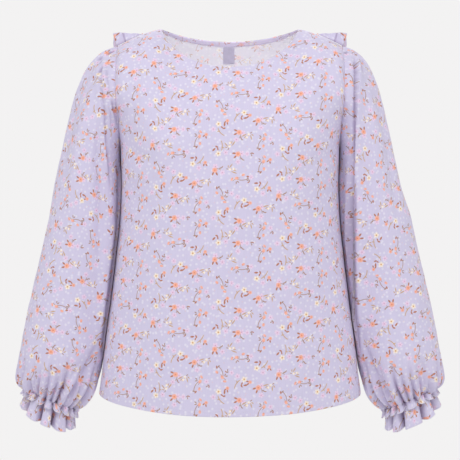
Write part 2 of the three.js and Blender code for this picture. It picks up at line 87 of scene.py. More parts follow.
FRONT = {
    "sign": -1,
    "depth": FRONT_DEPTH,
    "neck_drop": 67,
    "neck_depth": 72,
    "neck_flat": 2.3,
    "neck_round": 0.72,
    "armhole_depth": 58,
    "chest_slope": 0.3,
    "chest_round": 2.2,
}
BACK = {
    "sign": 1,
    "depth": BACK_DEPTH,
    "neck_drop": 15.5,
    "neck_depth": 50,
    "neck_flat": 2,
    "neck_round": 1,
    "armhole_depth": 52,
    "chest_slope": 0.05,
    "chest_round": 2.4,
}

# Hanging folds of the body: place across (-1 to 1), width, height where it starts, depth
FRONT_FOLDS = [(-0.72, 0.13, -330, -4), (-0.34, 0.16, -400, 3), (0.2, 0.18, -420, -3), (0.66, 0.13, -350, -4)]
BACK_FOLDS = [(-0.6, 0.15, -330, -6), (-0.22, 0.17, -370, 5), (0.18, 0.16, -350, -5), (0.58, 0.16, -340, 5)]

# Fullness over the bust: middle across and up, half width and half height, depth
FULLNESS = [(-104, -188, 46, 56, 11.5), (106, -186, 46, 56, 11.5)]

# Rings of the sleeve: outer and inner point, depth to the front and back
OUT_X, OUT_Z, IN_X, IN_Z, FORE, AFT = range(6)
SLEEVE_RINGS = np.array(
    [
        (273, -215, 176, -236, 62, 60),
        (293, -305, 179, -322, 60, 58),
        (304.5, -357, 185.4, -376, 59, 58),
        (316.5, -407, 191.8, -428, 59, 58),
        (328, -458, 198.6, -480, 61, 59),
        (337.5, -508, 205, -529, 62, 60),
        (341.5, -536, 211, -557, 60, 58),
        (341, -556, 221, -582, 54, 52),
        (338, -570, 235, -601, 46, 44),
        (329, -580, 251, -613, 33, 32),
    ]
)
LAST_RING = len(SLEEVE_RINGS) - 1
CAP_TOP, CAP_UNDER, CAP_SPREAD = (0.99, -0.14), (0.12, -1.0), 0.35
CAP_HANDLES = (0.29, 0.46)
SLEEVE_SEAM = 0.12  # from the armhole edge to the sleeve
SEAM_FILL = 14

# Folds of the sleeves: angle round the sleeve at its start and end, width (degrees), the rings
# between which it runs, and depth. 0 degrees is outside, 90 the front, 180 inside, 270 the back.
SLEEVE_FOLDS = {
    "left": [
        (138, 156, 10, -0.4, 5.4, 9),
        (124, 156, 7, -0.6, 4.2, -8),
        (112, 144, 8, -0.6, 4.2, 4),
        (38, 55, 12, -0.95, 1.2, -5),
        (4, 8, 26, -0.97, 1, -5),
        (150, 118, 11, 4.6, 8.8, -8),
        (60, 76, 12, 5.2, 8.8, -6),
        (262, 250, 16, -0.6, 5.5, -7),
        (310, 300, 14, 3.2, 8.8, -6),
    ],
    "right": [
        (134, 152, 12, -0.4, 5.4, 10),
        (90, 128, 9, -0.9, 0.9, -4),
        (60, 66, 10, -0.95, 0.8, 4),
        (24, 26, 12, -0.97, 0.2, -5),
        (356, 354, 26, -0.99, 1, 3.5),
        (148, 112, 11, 4.4, 8.8, -8),
        (118, 88, 10, 5, 8.8, -6),
        (266, 254, 16, -0.6, 5.2, -7),
        (306, 296, 14, 3.4, 8.8, -6),
    ],
}

# Frills below the elastic. Flare moves a frill out, wave is the height of its flutes, plump widens
# their crests and stray moves them from even places, both in radians of a flute. Narrow is the
# power that narrows their troughs, and scallop makes the crests longer, as a share of the length.
# Shadow is painted shadow near the elastic, where the frill above would shade this one, and dark
# is the power that narrows the painted shade in the troughs.
CUFF_FRILL = {
    "length": 40,
    "side_loss": 0.3,
    "scallop": 0.05,
    "waves": 10,
    "out": -2.6,
    "start_wave": 0.4,
    "flare": 1.2,
    "wave": 8.0,
    "bend": 0.7,
    "plump": 0.6,
    "narrow": 2.6,
    "stray": 0.5,
    "shadow": 0.5,
    "dark": 3.0,
    "columns": 440,
    "rows": 30,
}
CUFF_HEADING = {
    "length": 9.5,
    "side_loss": 0.0,
    "scallop": 0.34,
    "waves": 18,
    "out": 0.4,
    "start_wave": 0.8,
    "flare": 3.6,
    "wave": 4.2,
    "bend": 0.55,
    "plump": 0.6,
    "narrow": 1.7,
    "stray": 0.5,
    "shadow": 0.0,
    "dark": 1.6,
    "columns": 504,
    "rows": 16,
}
CUFF_STRAY = {"left": (0.6, 1.7), "right": (2.5, 1.0)}  # phase, and share of the frill's own stray
CUFF_HANG = 0.6
CUFF_GAP = 0.3
EDGE_RADIUS = 0.6  # of the rolled hem on a frill

# The frill on the shoulder
FRILL_INNER = 141
FRILL_BACK_ANGLE = 62
FRILL_TOP = -5
FRILL_SLOPE = 4  # how much lower the top is at the neck end
FRILL_FOOT = 1.2
FRILL_TURN, FRILL_TUCK = 0.42, 0.29  # shares of the frill's length to its turn and its tuck
FRILL_WAVES = 3.5
FRILL_WAVE = 4.5
FRILL_LIFT = 1.2

# Finer forms of the cloth.

# Soft creases of the panels, seen from the front: both ends (x, z), width, depth
FRONT_CREASES = [
    (-181, -122, -150, -206, 9, -3.0),
    (-176, -196, -118, -222, 12, -3.5),
    (-172, -238, -128, -300, 14, -2.0),
    (183, -118, 169, -192, 6, -3.5),
    (176, -200, 122, -226, 12, -3.0),
    (170, -246, 130, -310, 14, -2.0),
    (-96, -262, -112, -420, 20, 2.0),
    (92, -262, 104, -430, 20, 2.0),
    (-6, -300, 4, -520, 24, -1.6),
    (-150, -330, -168, -560, 12, -2.4),
    (148, -360, 170, -570, 12, -2.4),
    (-60, -430, -74, -600, 15, -1.6),
    (58, -450, 66, -600, 15, 1.8),
]
BACK_CREASES = [
    (-150, -60, -60, -110, 16, -2.5),
    (150, -62, 64, -104, 16, -2.5),
    (-176, -190, -90, -240, 14, -3.5),
    (176, -194, 96, -250, 14, -3.5),
    (-60, -180, -74, -420, 20, 2.6),
    (52, -200, 66, -430, 20, -2.6),
    (-130, -300, -150, -580, 14, -3.0),
    (128, -330, 148, -580, 14, 3.0),
    (-8, -360, -2, -600, 18, -2.6),
]

# Finer folds of the sleeves, in the columns of SLEEVE_FOLDS
SLEEVE_CREASES = {
    "left": [
        (20, 24, 5, -1.0, -0.7, -2.5),
        (62, 74, 5, -0.98, -0.3, -1.8),
        (148, 122, 5, 3.6, 8.4, -4.5),
        (134, 104, 5, 4.6, 8.9, -4.0),
        (70, 40, 7, 1.4, 2.8, -1.6),
        (30, 60, 8, 2.6, 4.2, 1.5),
        (100, 70, 7, 3.2, 5.0, -1.5),
        (24, 40, 6, 5.6, 8.9, -3.0),
        (92, 98, 6, 6.0, 8.9, -2.6),
        (122, 108, 6, 5.8, 8.9, 2.4),
        (172, 150, 8, 4.4, 8.7, -3.4),
        (340, 330, 8, 4.0, 8.8, -3.0),
        (285, 275, 8, 4.8, 8.8, 2.6),
        (225, 235, 8, 5.0, 8.8, -3.0),
        (210, 190, 9, -0.2, 3.6, -3.0),
        (330, 345, 9, -0.9, 0.8, -2.4),
    ],
    "right": [
        (22, 24, 5, -1.0, -0.72, -3.0),
        (44, 50, 5, -0.98, -0.3, -1.8),
        (112, 132, 6, 0.3, 2.4, -2.0),
        (150, 116, 5, 3.8, 8.6, -4.5),
        (128, 98, 5, 4.8, 8.9, -4.0),
        (60, 84, 7, 1.0, 2.6, -1.6),
        (36, 16, 8, 2.2, 3.8, -1.5),
        (88, 60, 7, 3.4, 5.2, 1.5),
        (34, 52, 6, 5.4, 8.9, -3.0),
        (72, 70, 6, 6.0, 8.9, -2.8),
        (132, 104, 6, 5.6, 8.9, 2.4),
        (170, 146, 8, 4.2, 8.7, -3.4),
        (344, 334, 8, 4.2, 8.8, -3.0),
        (282, 272, 8, 4.6, 8.8, 2.6),
        (222, 232, 8, 5.2, 8.8, -3.0),
        (212, 192, 9, -0.2, 3.4, -3.0),
        (332, 346, 9, -0.9, 0.9, -2.4),
    ],
}

# Sharp folds on the front of the sleeves, which overlap towards the body: width of the outer side,
# height, and the points (x, z) that the edge runs through
SLEEVE_EDGES = {
    "left": [
        (8, 5.5, [(203, -40), (203, -87), (202, -105), (200.5, -159), (201, -238), (200, -285)]),
        (12, 4.0, [(199, -255), (199, -310), (200, -346), (201, -397), (203, -440), (207, -495)]),
    ],
    "right": [
        (7, 3.0, [(211, -56), (206, -104), (201, -143), (199, -187), (195, -241), (194, -262)]),
        (6, 2.4, [(202, -52), (197, -87), (194, -120), (191, -151), (189, -179)]),
        (8, 4.0, [(191, -108), (189, -125), (184.5, -148), (179.5, -172)]),
    ],
}

# Creases of the sleeve heads beside the shoulder, in the columns of FRONT_CREASES
HEAD_CREASES = {
    "left": [
        (183, -40, 191, -36.5, 1.8, -4.0),
        (214, -48, 219, -58, 1.8, -2.0),
        (209, -58, 212, -76, 2.0, -2.0),
    ],
    "right": [
        (187, -34.5, 199, -38.5, 2.0, -4.5),
        (208, -43, 215, -49, 1.6, -2.6),
        (207, -51, 213, -59, 1.8, -3.0),
        (205, -62, 210, -76, 2.0, -3.0),
    ],
}

# Beside the body the sleeve's front folds over cloth that lies back: depth of that cloth, strength
# of the painted shade on it, and the points (x, z) of the fold
SLEEVE_TUCKS = {
    "left": (
        -27,
        0.42,
        [(200, -232), (200, -376), (201.4, -421), (203, -459), (207, -491), (211, -540)],
    ),
    "right": (
        -13,
        0.35,
        [(184, -201), (182, -238), (182, -277), (184, -325), (191, -384), (204, -486), (210, -540)],
    ),
}
BESIDE_BODY = 1.2  # room between the sleeve and the body's side

# Pleats that run into the elastic: how many round the sleeve, phase, rings where they start and
# are at their deepest, depth, how narrow their troughs are, and the depth left at the elastic
GATHERS = [
    (9, 0.0, 5.2, 8.0, 2.4, 1, 0.5),
    (15, 0.7, 4.7, 7.7, 3.0, 4, 0.7),
    (24, 1.3, 5.5, 7.9, 4.0, 3, 0.85),
]

# Cuts, as flat width and length in metres and flat area in square metres
CUTS = {
    "front": (0.58, 0.68, 0.31),
    "back": (0.57, 0.67, 0.30),
    "sleeve": (0.40, 0.64, 0.22),
    "cuff_frill": (0.44, 0.042, 0.0175),
    "cuff_heading": (0.42, 0.012, 0.0050),
    "shoulder_frill": (0.11, 0.026, 0.0019),
    "neck_facing": (0.26, 0.01, 0.0017),
    "label": (0.019, 0.032, 0.0006),
}


def srgb(red, green, blue):
    """A colour given as 0 to 255, in the linear values that Blender keeps, with alpha."""
    channels = np.array([red, green, blue]) / 255
    linear = np.where(channels <= 0.04045, channels / 12.92, ((channels + 0.055) / 1.055) ** 2.4)
    return (*linear.tolist(), 1.0)


def colour_property(name, description, colour):
    return FloatVectorProperty(
        name=name, description=description, default=srgb(*colour), subtype="COLOR", size=4, min=0, max=1
    )


class BlouseColours(bpy.types.PropertyGroup):
    """Colours of the print, and of the plain pieces."""

    ground: colour_property("Ground", "Cloth between the flowers", (214, 208, 234))
    dot: colour_property("Dot", "Soft dots on the ground", (240, 237, 248))
    coral: colour_property("Coral", "Roses and buds", (252, 187, 166))
    coral_heart: colour_property("Coral heart", "Middle of the roses", (237, 150, 122))
    pink: colour_property("Pink", "Petals of the pale flowers", (237, 216, 240))
    pink_heart: colour_property("Pink heart", "Middle of the pale flowers", (212, 156, 190))
    cream: colour_property("Cream", "Cream flowers and buds", (252, 240, 228))
    cream_heart: colour_property("Cream heart", "Middle of the cream flowers", (220, 172, 112))
    leaf: colour_property("Leaf", "Rust brown leaves", (188, 126, 101))
    twig: colour_property("Twig", "Grey brown leaves and stems", (178, 145, 132))
    tan: colour_property("Tan", "Sprigs and pale stems", (206, 172, 142))
    faded: colour_property("Faded", "What the print fades to on its wrong side", (245, 232, 255))
    label: colour_property("Label", "Plain woven label", (212, 206, 227))
    thread: colour_property("Thread", "Stitches and rolled edges", (240, 236, 248))


class BlouseSizes(bpy.types.PropertyGroup):
    """Sizes of the fine forms, which can change without leaving the frame."""

    cloth: FloatProperty(
        name="Cloth",
        description="Thickness of the cloth",
        default=0.0005,
        min=0.0002,
        max=0.001,
        unit="LENGTH",
    )
    hem: FloatProperty(
        name="Hem", description="Width of the turned hem", default=0.009, min=0.004, max=0.02, unit="LENGTH"
    )
    creases: FloatProperty(
        name="Creases", description="Depth of the fine creases, as a share", default=1.0, min=0, max=2
    )
    rumple: FloatProperty(
        name="Rumple",
        description="Height of the soft rumples",
        default=0.0005,
        min=0,
        max=0.002,
        unit="LENGTH",
    )
    stitch: FloatProperty(
        name="Stitch", description="Length of one stitch", default=0.0026, min=0.001, max=0.006, unit="LENGTH"
    )
    columns: IntProperty(name="Columns", description="Columns of a body panel", default=168, min=40, max=240)
    sleeve_columns: IntProperty(
        name="Sleeve columns", description="Columns round a sleeve", default=288, min=60, max=360
    )


class BlouseStage(bpy.types.PropertyGroup):
    """Light and floor round the blouse."""

    backdrop: colour_property("Backdrop", "Plain colour behind the blouse", (243, 242, 242))
    fill: FloatProperty(name="Fill", description="Strength of the light from all round", default=0.58, min=0)
    key: FloatProperty(
        name="Key", description="Power of the large lamp in front", default=34, min=0, unit="POWER"
    )
    floor: FloatProperty(
        name="Floor", description="Height of the floor", default=-1.45, max=-0.7, unit="LENGTH"
    )


# Curves and surfaces.


def mix(a, b, share):
    return a + (b - a) * share


def smooth(start, end, value):
    """0 up to start, 1 from end on, and an even slope between, in either direction."""
    share = np.clip((value - start) / (end - start), 0, 1)
    return share * share * (3 - 2 * share)


def bell(distance, width):
    return np.exp(-((distance / width) ** 2))


def unit(vectors):
    return vectors / np.linalg.norm(vectors, axis=-1, keepdims=True)


def through(table, place):
    """Rows of a table read at places between them, on a Catmull-Rom curve through the rows."""
    last = len(table) - 1
    i = np.clip(np.floor(place).astype(int), 0, last - 1)
    t = (place - i)[..., None]
    p0, p1, p2, p3 = (table[np.clip(i + k, 0, last)] for k in (-1, 0, 1, 2))
    bend = (2 * p0 - 5 * p1 + 4 * p2 - p3) * t**2 + (3 * (p1 - p2) + p3 - p0) * t**3
    return 0.5 * (2 * p1 + (p2 - p0) * t + bend)


def points_of(x, y, z):
    return np.stack(np.broadcast_arrays(x, y, z), axis=-1)


def section(full, s, power):
    """Depth of a section of the body, s of the way from its centre to its side."""
    return full * (1 - np.abs(s) ** power) ** (1 / power)


def top_edge(panel, s):
    """Height and depth of a panel's top edge: the neck curve in the middle, then the shoulder
    seam. Both drop by a power of the distance from where they meet."""
    across = np.abs(s)
    out = np.clip((across - NECK_SHARE) / (1 - NECK_SHARE), 0, 1)
    t = np.clip(across / NECK_SHARE, 0, 1)
    neck_z = -panel["neck_drop"] * (1 - t ** panel["neck_flat"]) ** panel["neck_round"]
    neck_depth = panel["neck_depth"] * (1 - t**2) ** NECK_ROUND
    on_seam = across >= NECK_SHARE
    z = np.where(on_seam, -SHOULDER_DROP * out**SHOULDER_BEND, neck_z)
    return z, np.where(on_seam, 0, neck_depth) + HALF_SEAM


def soft_top_edge(panel, s, rise):
    """The top edge as the rows below it follow it: the mean of nearby stretches of the edge, which
    are wider the lower the row is, so that the corner of the neck leaves no line in the cloth."""
    width = NECK_SPREAD * np.sqrt(1 - rise) * smooth(1, 0.8, np.abs(s))
    offsets = np.linspace(-2, 2, 17)
    weights = np.exp(-(offsets**2) / 2) / np.exp(-(offsets**2) / 2).sum()
    edges = [top_edge(panel, s + width * offset) for offset in offsets]
    return [sum(weight * edge[k] for weight, edge in zip(weights, edges)) for k in range(2)]


def fullness(panel, x, z):
    if panel is BACK:
        return 0
    total = 0
    for middle_x, middle_z, half_x, half_z, depth in FULLNESS:
        total = total + depth * bell(np.hypot((x - middle_x) / half_x, (z - middle_z) / half_z), 1)
    return total


def lower_body(panel, folds, s, fall):
    """Below the underarm: the section curve of each height, with the hanging folds added to its
    depth. fall runs from 0 at the underarm to 1 at the hem, which dips towards its middle."""
    hem = HEM_SIDE - HEM_DIP * (1 - s**2) ** HEM_CURVE
    z = mix(UNDERARM, hem, fall)
    level = np.maximum(z, HEM_SIDE)
    place = np.interp(-level, -BODY_LEVELS[:, Z], np.arange(len(BODY_LEVELS)))
    rows = through(BODY_LEVELS, place)
    depth = section(rows[..., panel["depth"]], s, rows[..., POWER])
    for centre, width, start, fold in folds:
        depth = depth + fold * bell(s - centre, width) * smooth(start, HEM_SIDE, z) * (1 - s**8)
    x = s * rows[..., HALF]
    depth = depth + fullness(panel, x, z) * (1 - s**8) + HALF_SEAM
    return points_of(x, panel["sign"] * depth, z)


def seam_fill(rise):
    """How far both edges of the front armhole seam lie forward, to soften the seam's furrow."""
    return SEAM_FILL * smooth(0.25, 0.5, rise) * smooth(1, 0.86, rise)


def armhole_half(rise):
    return mix(BODY_LEVELS[0, HALF], SHOULDER_HALF, smooth(0, ARMHOLE_UPRIGHT, rise))


def upper_body(panel, s, rise):
    """Above the underarm: the underarm's section, cut off where it is as deep as the armhole,
    leans in to the top edge, in a slope at the neck and a round shoulder at the sides. rise
    runs from 0 at the underarm to 1 at the top edge."""
    top_z, top_depth = soft_top_edge(panel, s, rise)
    full, power = BODY_LEVELS[0, panel["depth"]], BODY_LEVELS[0, POWER]
    armhole = panel["armhole_depth"] * 2 * np.sqrt(np.maximum(rise - rise**2, 0))
    cut = section(1, armhole / full, power)
    depth = section(full, s * cut, power) + HALF_SEAM
    round_top = np.sqrt(np.maximum(1 - rise ** mix(SHOULDER_ROUND, ARMHOLE_ROUND, s**8), 0))
    slope = 1 - mix(rise ** panel["chest_round"], rise, panel["chest_slope"])
    share = mix(slope, round_top, smooth(0.4, 0.8, np.abs(s)))
    x, z = s * armhole_half(rise), mix(UNDERARM, top_z, rise)
    depth = mix(top_depth, depth, share) + fullness(panel, x, z) * (1 - s**8) * (1 - rise)
    if panel is FRONT:
        depth = depth + seam_fill(rise) * bell(1 - np.abs(s), 0.11)
    return points_of(x, panel["sign"] * depth, z)


def armhole_edge(angle):
    """The body's armhole edge at an angle round the sleeve, 0 at the top and 180 degrees below."""
    rise = (1 + np.cos(angle)) / 2
    front = np.sin(angle) >= 0
    deep = np.where(front, FRONT["armhole_depth"], BACK["armhole_depth"])
    depth = deep * 2 * np.sqrt(rise - rise**2) * np.sqrt(np.maximum(1 - rise**ARMHOLE_ROUND, 0))
    y = np.where(front, -1, 1) * (depth + HALF_SEAM)
    return points_of(armhole_half(rise), y, mix(UNDERARM, -SHOULDER_DROP, rise))


def ring_point(place, angle):
    """A point of the sleeve: each ring is a flattened circle between its outer and inner point."""
    place, angle = np.broadcast_arrays(np.asarray(place, float), angle)
    rows = through(SLEEVE_RINGS, place)
    reach = (1 + np.cos(angle)) / 2
    forward = np.sin(angle)
    y = -forward * np.where(forward > 0, rows[..., FORE], rows[..., AFT])
    return points_of(
        mix(rows[..., IN_X], rows[..., OUT_X], reach), y, mix(rows[..., IN_Z], rows[..., OUT_Z], reach)
    )


def cap_point(share, angle):
    """The sleeve head: a cubic curve from the armhole, which it leaves sideways at the top and
    downwards below, to the first ring, where it takes the sleeve's own direction."""
    start = armhole_edge(angle) + (SLEEVE_SEAM, 0, 0)
    end = ring_point(0, angle)
    under = (1 - np.cos(angle)) / 2
    away, up = (mix(top, low, under) for top, low in zip(CAP_TOP, CAP_UNDER))
    leave = unit(points_of(away, -CAP_SPREAD * np.sin(angle), up))
    arrive = unit(ring_point(0.5, angle) - end)
    distance = np.linalg.norm(end - start, axis=-1, keepdims=True)
    first = start + leave * distance * CAP_HANDLES[0]
    second = end - arrive * distance * CAP_HANDLES[1]
    t = share[..., None]
    u = 1 - t
    points = u**3 * start + 3 * u**2 * t * first + 3 * u * t**2 * second + t**3 * end
    forward = seam_fill((1 + np.cos(angle)) / 2) * bell(share, 0.22) * (np.sin(angle) > 0)
    return points - forward[..., None] * (0, 1, 0)


def elastic_frame():
    """The elastic's centre, and the direction in which the hand would leave it."""
    outer, inner = ring_point(LAST_RING, np.array([0.0, np.pi]))
    across = unit(outer - inner)
    return (outer + inner) / 2, np.array([across[2], 0, -across[0]])


def fold_relief(table, place, degrees):
    """Folds of a sleeve: each is a bell round the sleeve and swells and fades along its length."""
    total = np.zeros(np.broadcast_shapes(place.shape, degrees.shape))
    for angle, end_angle, width, start, end, depth in table:
        along = (place - start) / (end - start)
        away = degrees - mix(angle, end_angle, along)
        nearest = away - 360 * np.round(away / 360)
        total += depth * bell(nearest, width) * smooth(0, 0.35, along) * smooth(1, 0.7, along)
    return total


def edge_relief(table, x, z):
    """Sharp folds: each rises in a bell from its outer side to the edge, falls steeply to a hollow
    and evens out towards the body. It fades at the first and last point of its edge."""
    total = np.zeros_like(x)
    for width, height, line in table:
        line_x, line_z = np.array(line).T
        away = x - np.interp(-z, -line_z, line_x)
        hollow = mix(1, -0.8, smooth(0, -2, away)) * smooth(-width, -2, away)
        ends = smooth(line_z[0], line_z[0] - 25, z) * smooth(line_z[-1], line_z[-1] + 40, z)
        total += height * np.where(away > 0, bell(away, width), hollow) * ends
    return total


def body_side(y, z):
    """Half width of the body below the underarm, at a depth."""
    place = np.interp(-z, -BODY_LEVELS[:, Z], np.arange(len(BODY_LEVELS)))
    rows = through(BODY_LEVELS, place)
    full = np.where(y < 0, rows[..., FRONT_DEPTH], rows[..., BACK_DEPTH])
    return rows[..., HALF] * (1 - np.abs(y / full) ** rows[..., POWER]) ** (1 / rows[..., POWER])


def lay_beside_body(side, points, degrees):
    """Inside its fold, the front of the sleeve lies back on one level, and its inner side keeps an
    even distance from the body's side. Also gives the painted shade of each point: how far it lies
    inside the fold, times the tuck's shade."""
    x, y, z = np.moveaxis(points, -1, 0)
    below = smooth(-205, -240, z) * smooth(-560, -520, z)
    level, tone, line = SLEEVE_TUCKS[side]
    line_x, line_z = np.array(line).T
    inside = smooth(0.8, -0.8, x - np.interp(-z, -line_z, line_x)) * (degrees > 0) * below
    inside = inside * smooth(line_z[0], line_z[1], z)
    y = mix(y, np.maximum(y, level), inside)
    round_degrees = degrees % 360
    near = smooth(152, 168, round_degrees) * smooth(232, 208, round_degrees) * below
    x = mix(x, body_side(y, z) + BESIDE_BODY, near)
    # The second value is painted shade on the cloth inside the fold
    return points_of(x, y, z), inside * tone


def gather_relief(place, angle):
    """Pleats at the elastic: waves of several counts that start on different rings, whose troughs
    are narrowed by a power. The finer ones wander, and differ in length round the sleeve."""
    total = 0
    for count, phase, start, full, depth, narrow, left in GATHERS:
        wander = 0 if phase == 0 else 0.05 * np.sin(3 * angle + phase)
        late = 0 if phase == 0 else 0.7 * np.sin(5 * angle + 3 * phase)
        trough = (1 - np.cos(count * (angle + wander) + phase)) / 2
        swell = smooth(start + late, full, place) * mix(1, left, smooth(LAST_RING - 1, LAST_RING, place))
        total = total + depth * swell * (1 - 2 * trough**narrow)
    return total


def crease_relief(table, x, z):
    """Creases of a panel: each is a bell across its line and fades beyond both of its ends."""
    total = np.zeros_like(x)
    for x0, z0, x1, z1, width, depth in table:
        length = math.hypot(x1 - x0, z1 - z0)
        ux, uz = (x1 - x0) / length, (z1 - z0) / length
        along = ((x - x0) * ux + (z - z0) * uz) / length
        across = (x - x0) * uz - (z - z0) * ux
        total += depth * bell(across, width) * smooth(-0.2, 0.35, along) * smooth(1.2, 0.65, along)
    return total


def rumple_relief(u, v, seed):
    """Soft rumples of thin cloth, from -1 to 1: the mean of plane waves 24 to 70 mm long."""
    chance = np.random.default_rng(seed)
    total = 0
    for length in (24, 29, 37, 46, 58, 70):
        turn, phase = chance.uniform(0, 2 * np.pi, 2)
        total = total + np.sin((u * np.cos(turn) + v * np.sin(turn)) * 2 * np.pi / length + phase)
    return total / 6


# Meshes.


def surface_normals(points, closed, turn):
    """Outward normals, from the directions along the rows and columns of the grid."""
    if closed:
        along = np.roll(points, -1, axis=1) - np.roll(points, 1, axis=1)
    else:
        along = np.gradient(points, axis=1)
    return unit(np.cross(along, np.gradient(points, axis=0))) * turn


def level_lengths(points):
    """Level distance along each row, which is the cloth's own width where columns run down it."""
    steps = np.linalg.norm(np.diff(points[..., :2], axis=1), axis=-1)
    return np.concatenate([np.zeros((len(points), 1)), np.cumsum(steps, axis=1)], axis=1)


def column_lengths(points):
    steps = np.linalg.norm(np.diff(points, axis=0), axis=-1)
    return np.concatenate([np.zeros((1, points.shape[1])), np.cumsum(steps, axis=0)])


def shell(name, outer, normals, thickness, uv, closed, turn, materials, deep=0.0):
    """Cloth as two walls a thickness apart, joined round their edges. The grid is the outer wall.
    A closed grid is a tube, and its uv has one more column, for the far side of its seam. The
    outer wall and the edges take the first material and the inner wall the second. Deep is the
    painted shade of each point, from 0 to 1, which darkens its colour where shade falls in folds."""
    inner = outer - normals * np.broadcast_to(thickness, outer.shape[:2])[..., None]
    rows, count = outer.shape[:2]
    number = np.arange(rows * count).reshape(rows, count)
    if closed:
        number = np.concatenate([number, number[:, :1]], axis=1)
    place = np.arange(rows * number.shape[1]).reshape(rows, -1)

    def corners(o, i):
        parts = [
            (o[:-1, :-1], o[:-1, 1:], o[1:, 1:], o[1:, :-1]),
            (i[:-1, :-1], i[1:, :-1], i[1:, 1:], i[:-1, 1:]),
            (o[0, :-1], i[0, :-1], i[0, 1:], o[0, 1:]),
            (o[-1, :-1], o[-1, 1:], i[-1, 1:], i[-1, :-1]),
        ]
        if not closed:
            parts += [
                (o[:-1, 0], o[1:, 0], i[1:, 0], i[:-1, 0]),
                (o[:-1, -1], i[:-1, -1], i[1:, -1], o[1:, -1]),
            ]
        stacked = [np.stack([side.ravel() for side in part], axis=1) for part in parts]
        return [part if turn > 0 else part[:, ::-1] for part in stacked]

    parts = corners(number, number + rows * count)
    wall = len(parts[0])
    faces = np.concatenate(parts)
    points = np.concatenate([outer.reshape(-1, 3), inner.reshape(-1, 3)]) * MM
    piece = mesh_piece(name, points, faces, np.arange(len(faces)) < 2 * wall)
    side = np.zeros(len(faces), dtype=np.int32)
    side[wall : 2 * wall] = 1
    piece.data.polygons.foreach_set("material_index", side)
    painted_shading = np.broadcast_to(np.clip(deep, 0, 1), (2, rows, count)).astype(np.float32)
    piece.data.attributes.new("Painted shade", "FLOAT", "POINT").data.foreach_set("value", painted_shading.ravel())
    layer = piece.data.uv_layers.new(name="Cloth")
    flat = (uv * MM).reshape(-1, 2)[np.concatenate(corners(place, place)).ravel()]
    layer.uv.foreach_set("vector", flat.astype(np.float32).ravel())
    for material in materials:
        piece.data.materials.append(material)
    return piece


def mesh_piece(name, points, faces, smooth_faces):
    """An object at the origin, from arrays of points in metres and of faces with equal counts."""
    mesh = bpy.data.meshes.new(name)
    sides = faces.shape[1]
    mesh.vertices.add(len(points))
    mesh.vertices.foreach_set("co", points.astype(np.float32).ravel())
    mesh.loops.add(faces.size)
    mesh.loops.foreach_set("vertex_index", faces.astype(np.int32).ravel())
    mesh.polygons.add(len(faces))
    mesh.polygons.foreach_set("loop_start", np.arange(0, faces.size, sides, dtype=np.int32))
    mesh.polygons.foreach_set("use_smooth", smooth_faces)
    mesh.update(calc_edges=True)
    mesh.validate()
    piece = bpy.data.objects.new(name, mesh)
    bpy.context.scene.collection.objects.link(piece)
    return piece


def stitch_row(name, lines, length, gap, width, height, material):
    """Stitches along lines of points with their normals: each is a lens with two ends, two sides,
    a top and a foot, spaced evenly by the distance along its line."""
    parts = []
    for points, normals in lines:
        run = np.concatenate([[0], np.cumsum(np.linalg.norm(np.diff(points, axis=0), axis=1))])
        middles = np.arange(length / 2 + gap, run[-1] - length / 2, length + gap)
        read = lambda values, at: np.stack([np.interp(at, run, values[:, k]) for k in range(3)], axis=1)
        centre = read(points, middles)
        normal = unit(read(normals, middles))
        along = unit(read(points, middles + length / 2) - read(points, middles - length / 2))
        aside = np.cross(normal, along)
        parts.append(
            np.stack(
                [
                    centre - along * length / 2,
                    centre + aside * width / 2,
                    centre + along * length / 2,
                    centre - aside * width / 2,
                    centre + normal * height,
                    centre - normal * height * 0.4,
                ],
                axis=1,
            )
        )
    points = np.concatenate(parts)
    lens = np.array([(1, 0, 4), (2, 1, 4), (3, 2, 4), (0, 3, 4), (0, 1, 5), (1, 2, 5), (2, 3, 5), (3, 0, 5)])
    faces = (np.arange(len(points))[:, None, None] * 6 + lens).reshape(-1, 3)
    piece = mesh_piece(name, points.reshape(-1, 3) * MM, faces, np.ones(len(faces), bool))
    piece.data.materials.append(material)
    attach(piece, "root")
    return piece


def dress(piece, node):
    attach(piece, "root")
    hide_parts(node)


# The pieces.


def panel_grid(panel, folds, creases, seed):
    """A body panel as a grid of points, rows from the hem up, with its flat-cloth coordinates.
    Rows are close together at the hem and columns are spaced by the angle of a circle, with one
    column exactly at each end of the neck edge."""
    sizes = bpy.context.scene.blouse_sizes
    neck_columns = sizes.columns // 4
    neck_angle = math.asin(NECK_SHARE)
    near_corner = 1 - (1 - np.linspace(0, 1, neck_columns + 1)[1:]) ** 1.5
    neck = NECK_SHARE * near_corner
    shoulder = np.sin(np.linspace(neck_angle, math.pi / 2, sizes.columns // 2 - neck_columns + 1)[1:])
    half = np.concatenate([neck, shoulder])
    s = np.concatenate([-half[::-1], [0], half])[None, :]
    hem_rows = np.linspace(0, 0.032, 14)
    fall = 1 - np.concatenate([hem_rows, np.linspace(0.032, 1, 112)[1:]])[:, None]
    rise = (1 - np.cos(np.linspace(0, np.pi, 92)[1:]))[:, None] / 2
    base = np.concatenate([lower_body(panel, folds, s, fall), upper_body(panel, s, rise)])
    underarm = len(fall) - 1
    u = level_lengths(base)
    u -= u[:, s.shape[1] // 2][:, None]
    v = column_lengths(base)
    v -= v[underarm]
    x, z = base[..., 0], base[..., 2]
    relief = crease_relief(creases, x, z) * sizes.creases
    relief = relief + rumple_relief(u, v, seed) * sizes.rumple / MM
    hem_distance = v - v[0]
    hem = sizes.hem / MM
    relief = relief * (1 - s**8) + 0.25 * smooth(hem + 0.8, hem - 0.8, hem_distance)
    relief[-1] *= 0.3
    turn = -panel["sign"]
    normals = panel_normals(base, turn)
    points = base + normals * relief[..., None]
    return points, panel_normals(points, turn), np.stack([u, v], axis=-1), turn


def panel_normals(points, turn):
    """Normals without y on the side and shoulder seams, so that both panels keep to their side."""
    normals = surface_normals(points, False, turn)
    on_seam = np.abs(points[..., 1]) < 10 * HALF_SEAM
    normals[on_seam, 1] = 0
    return unit(normals)


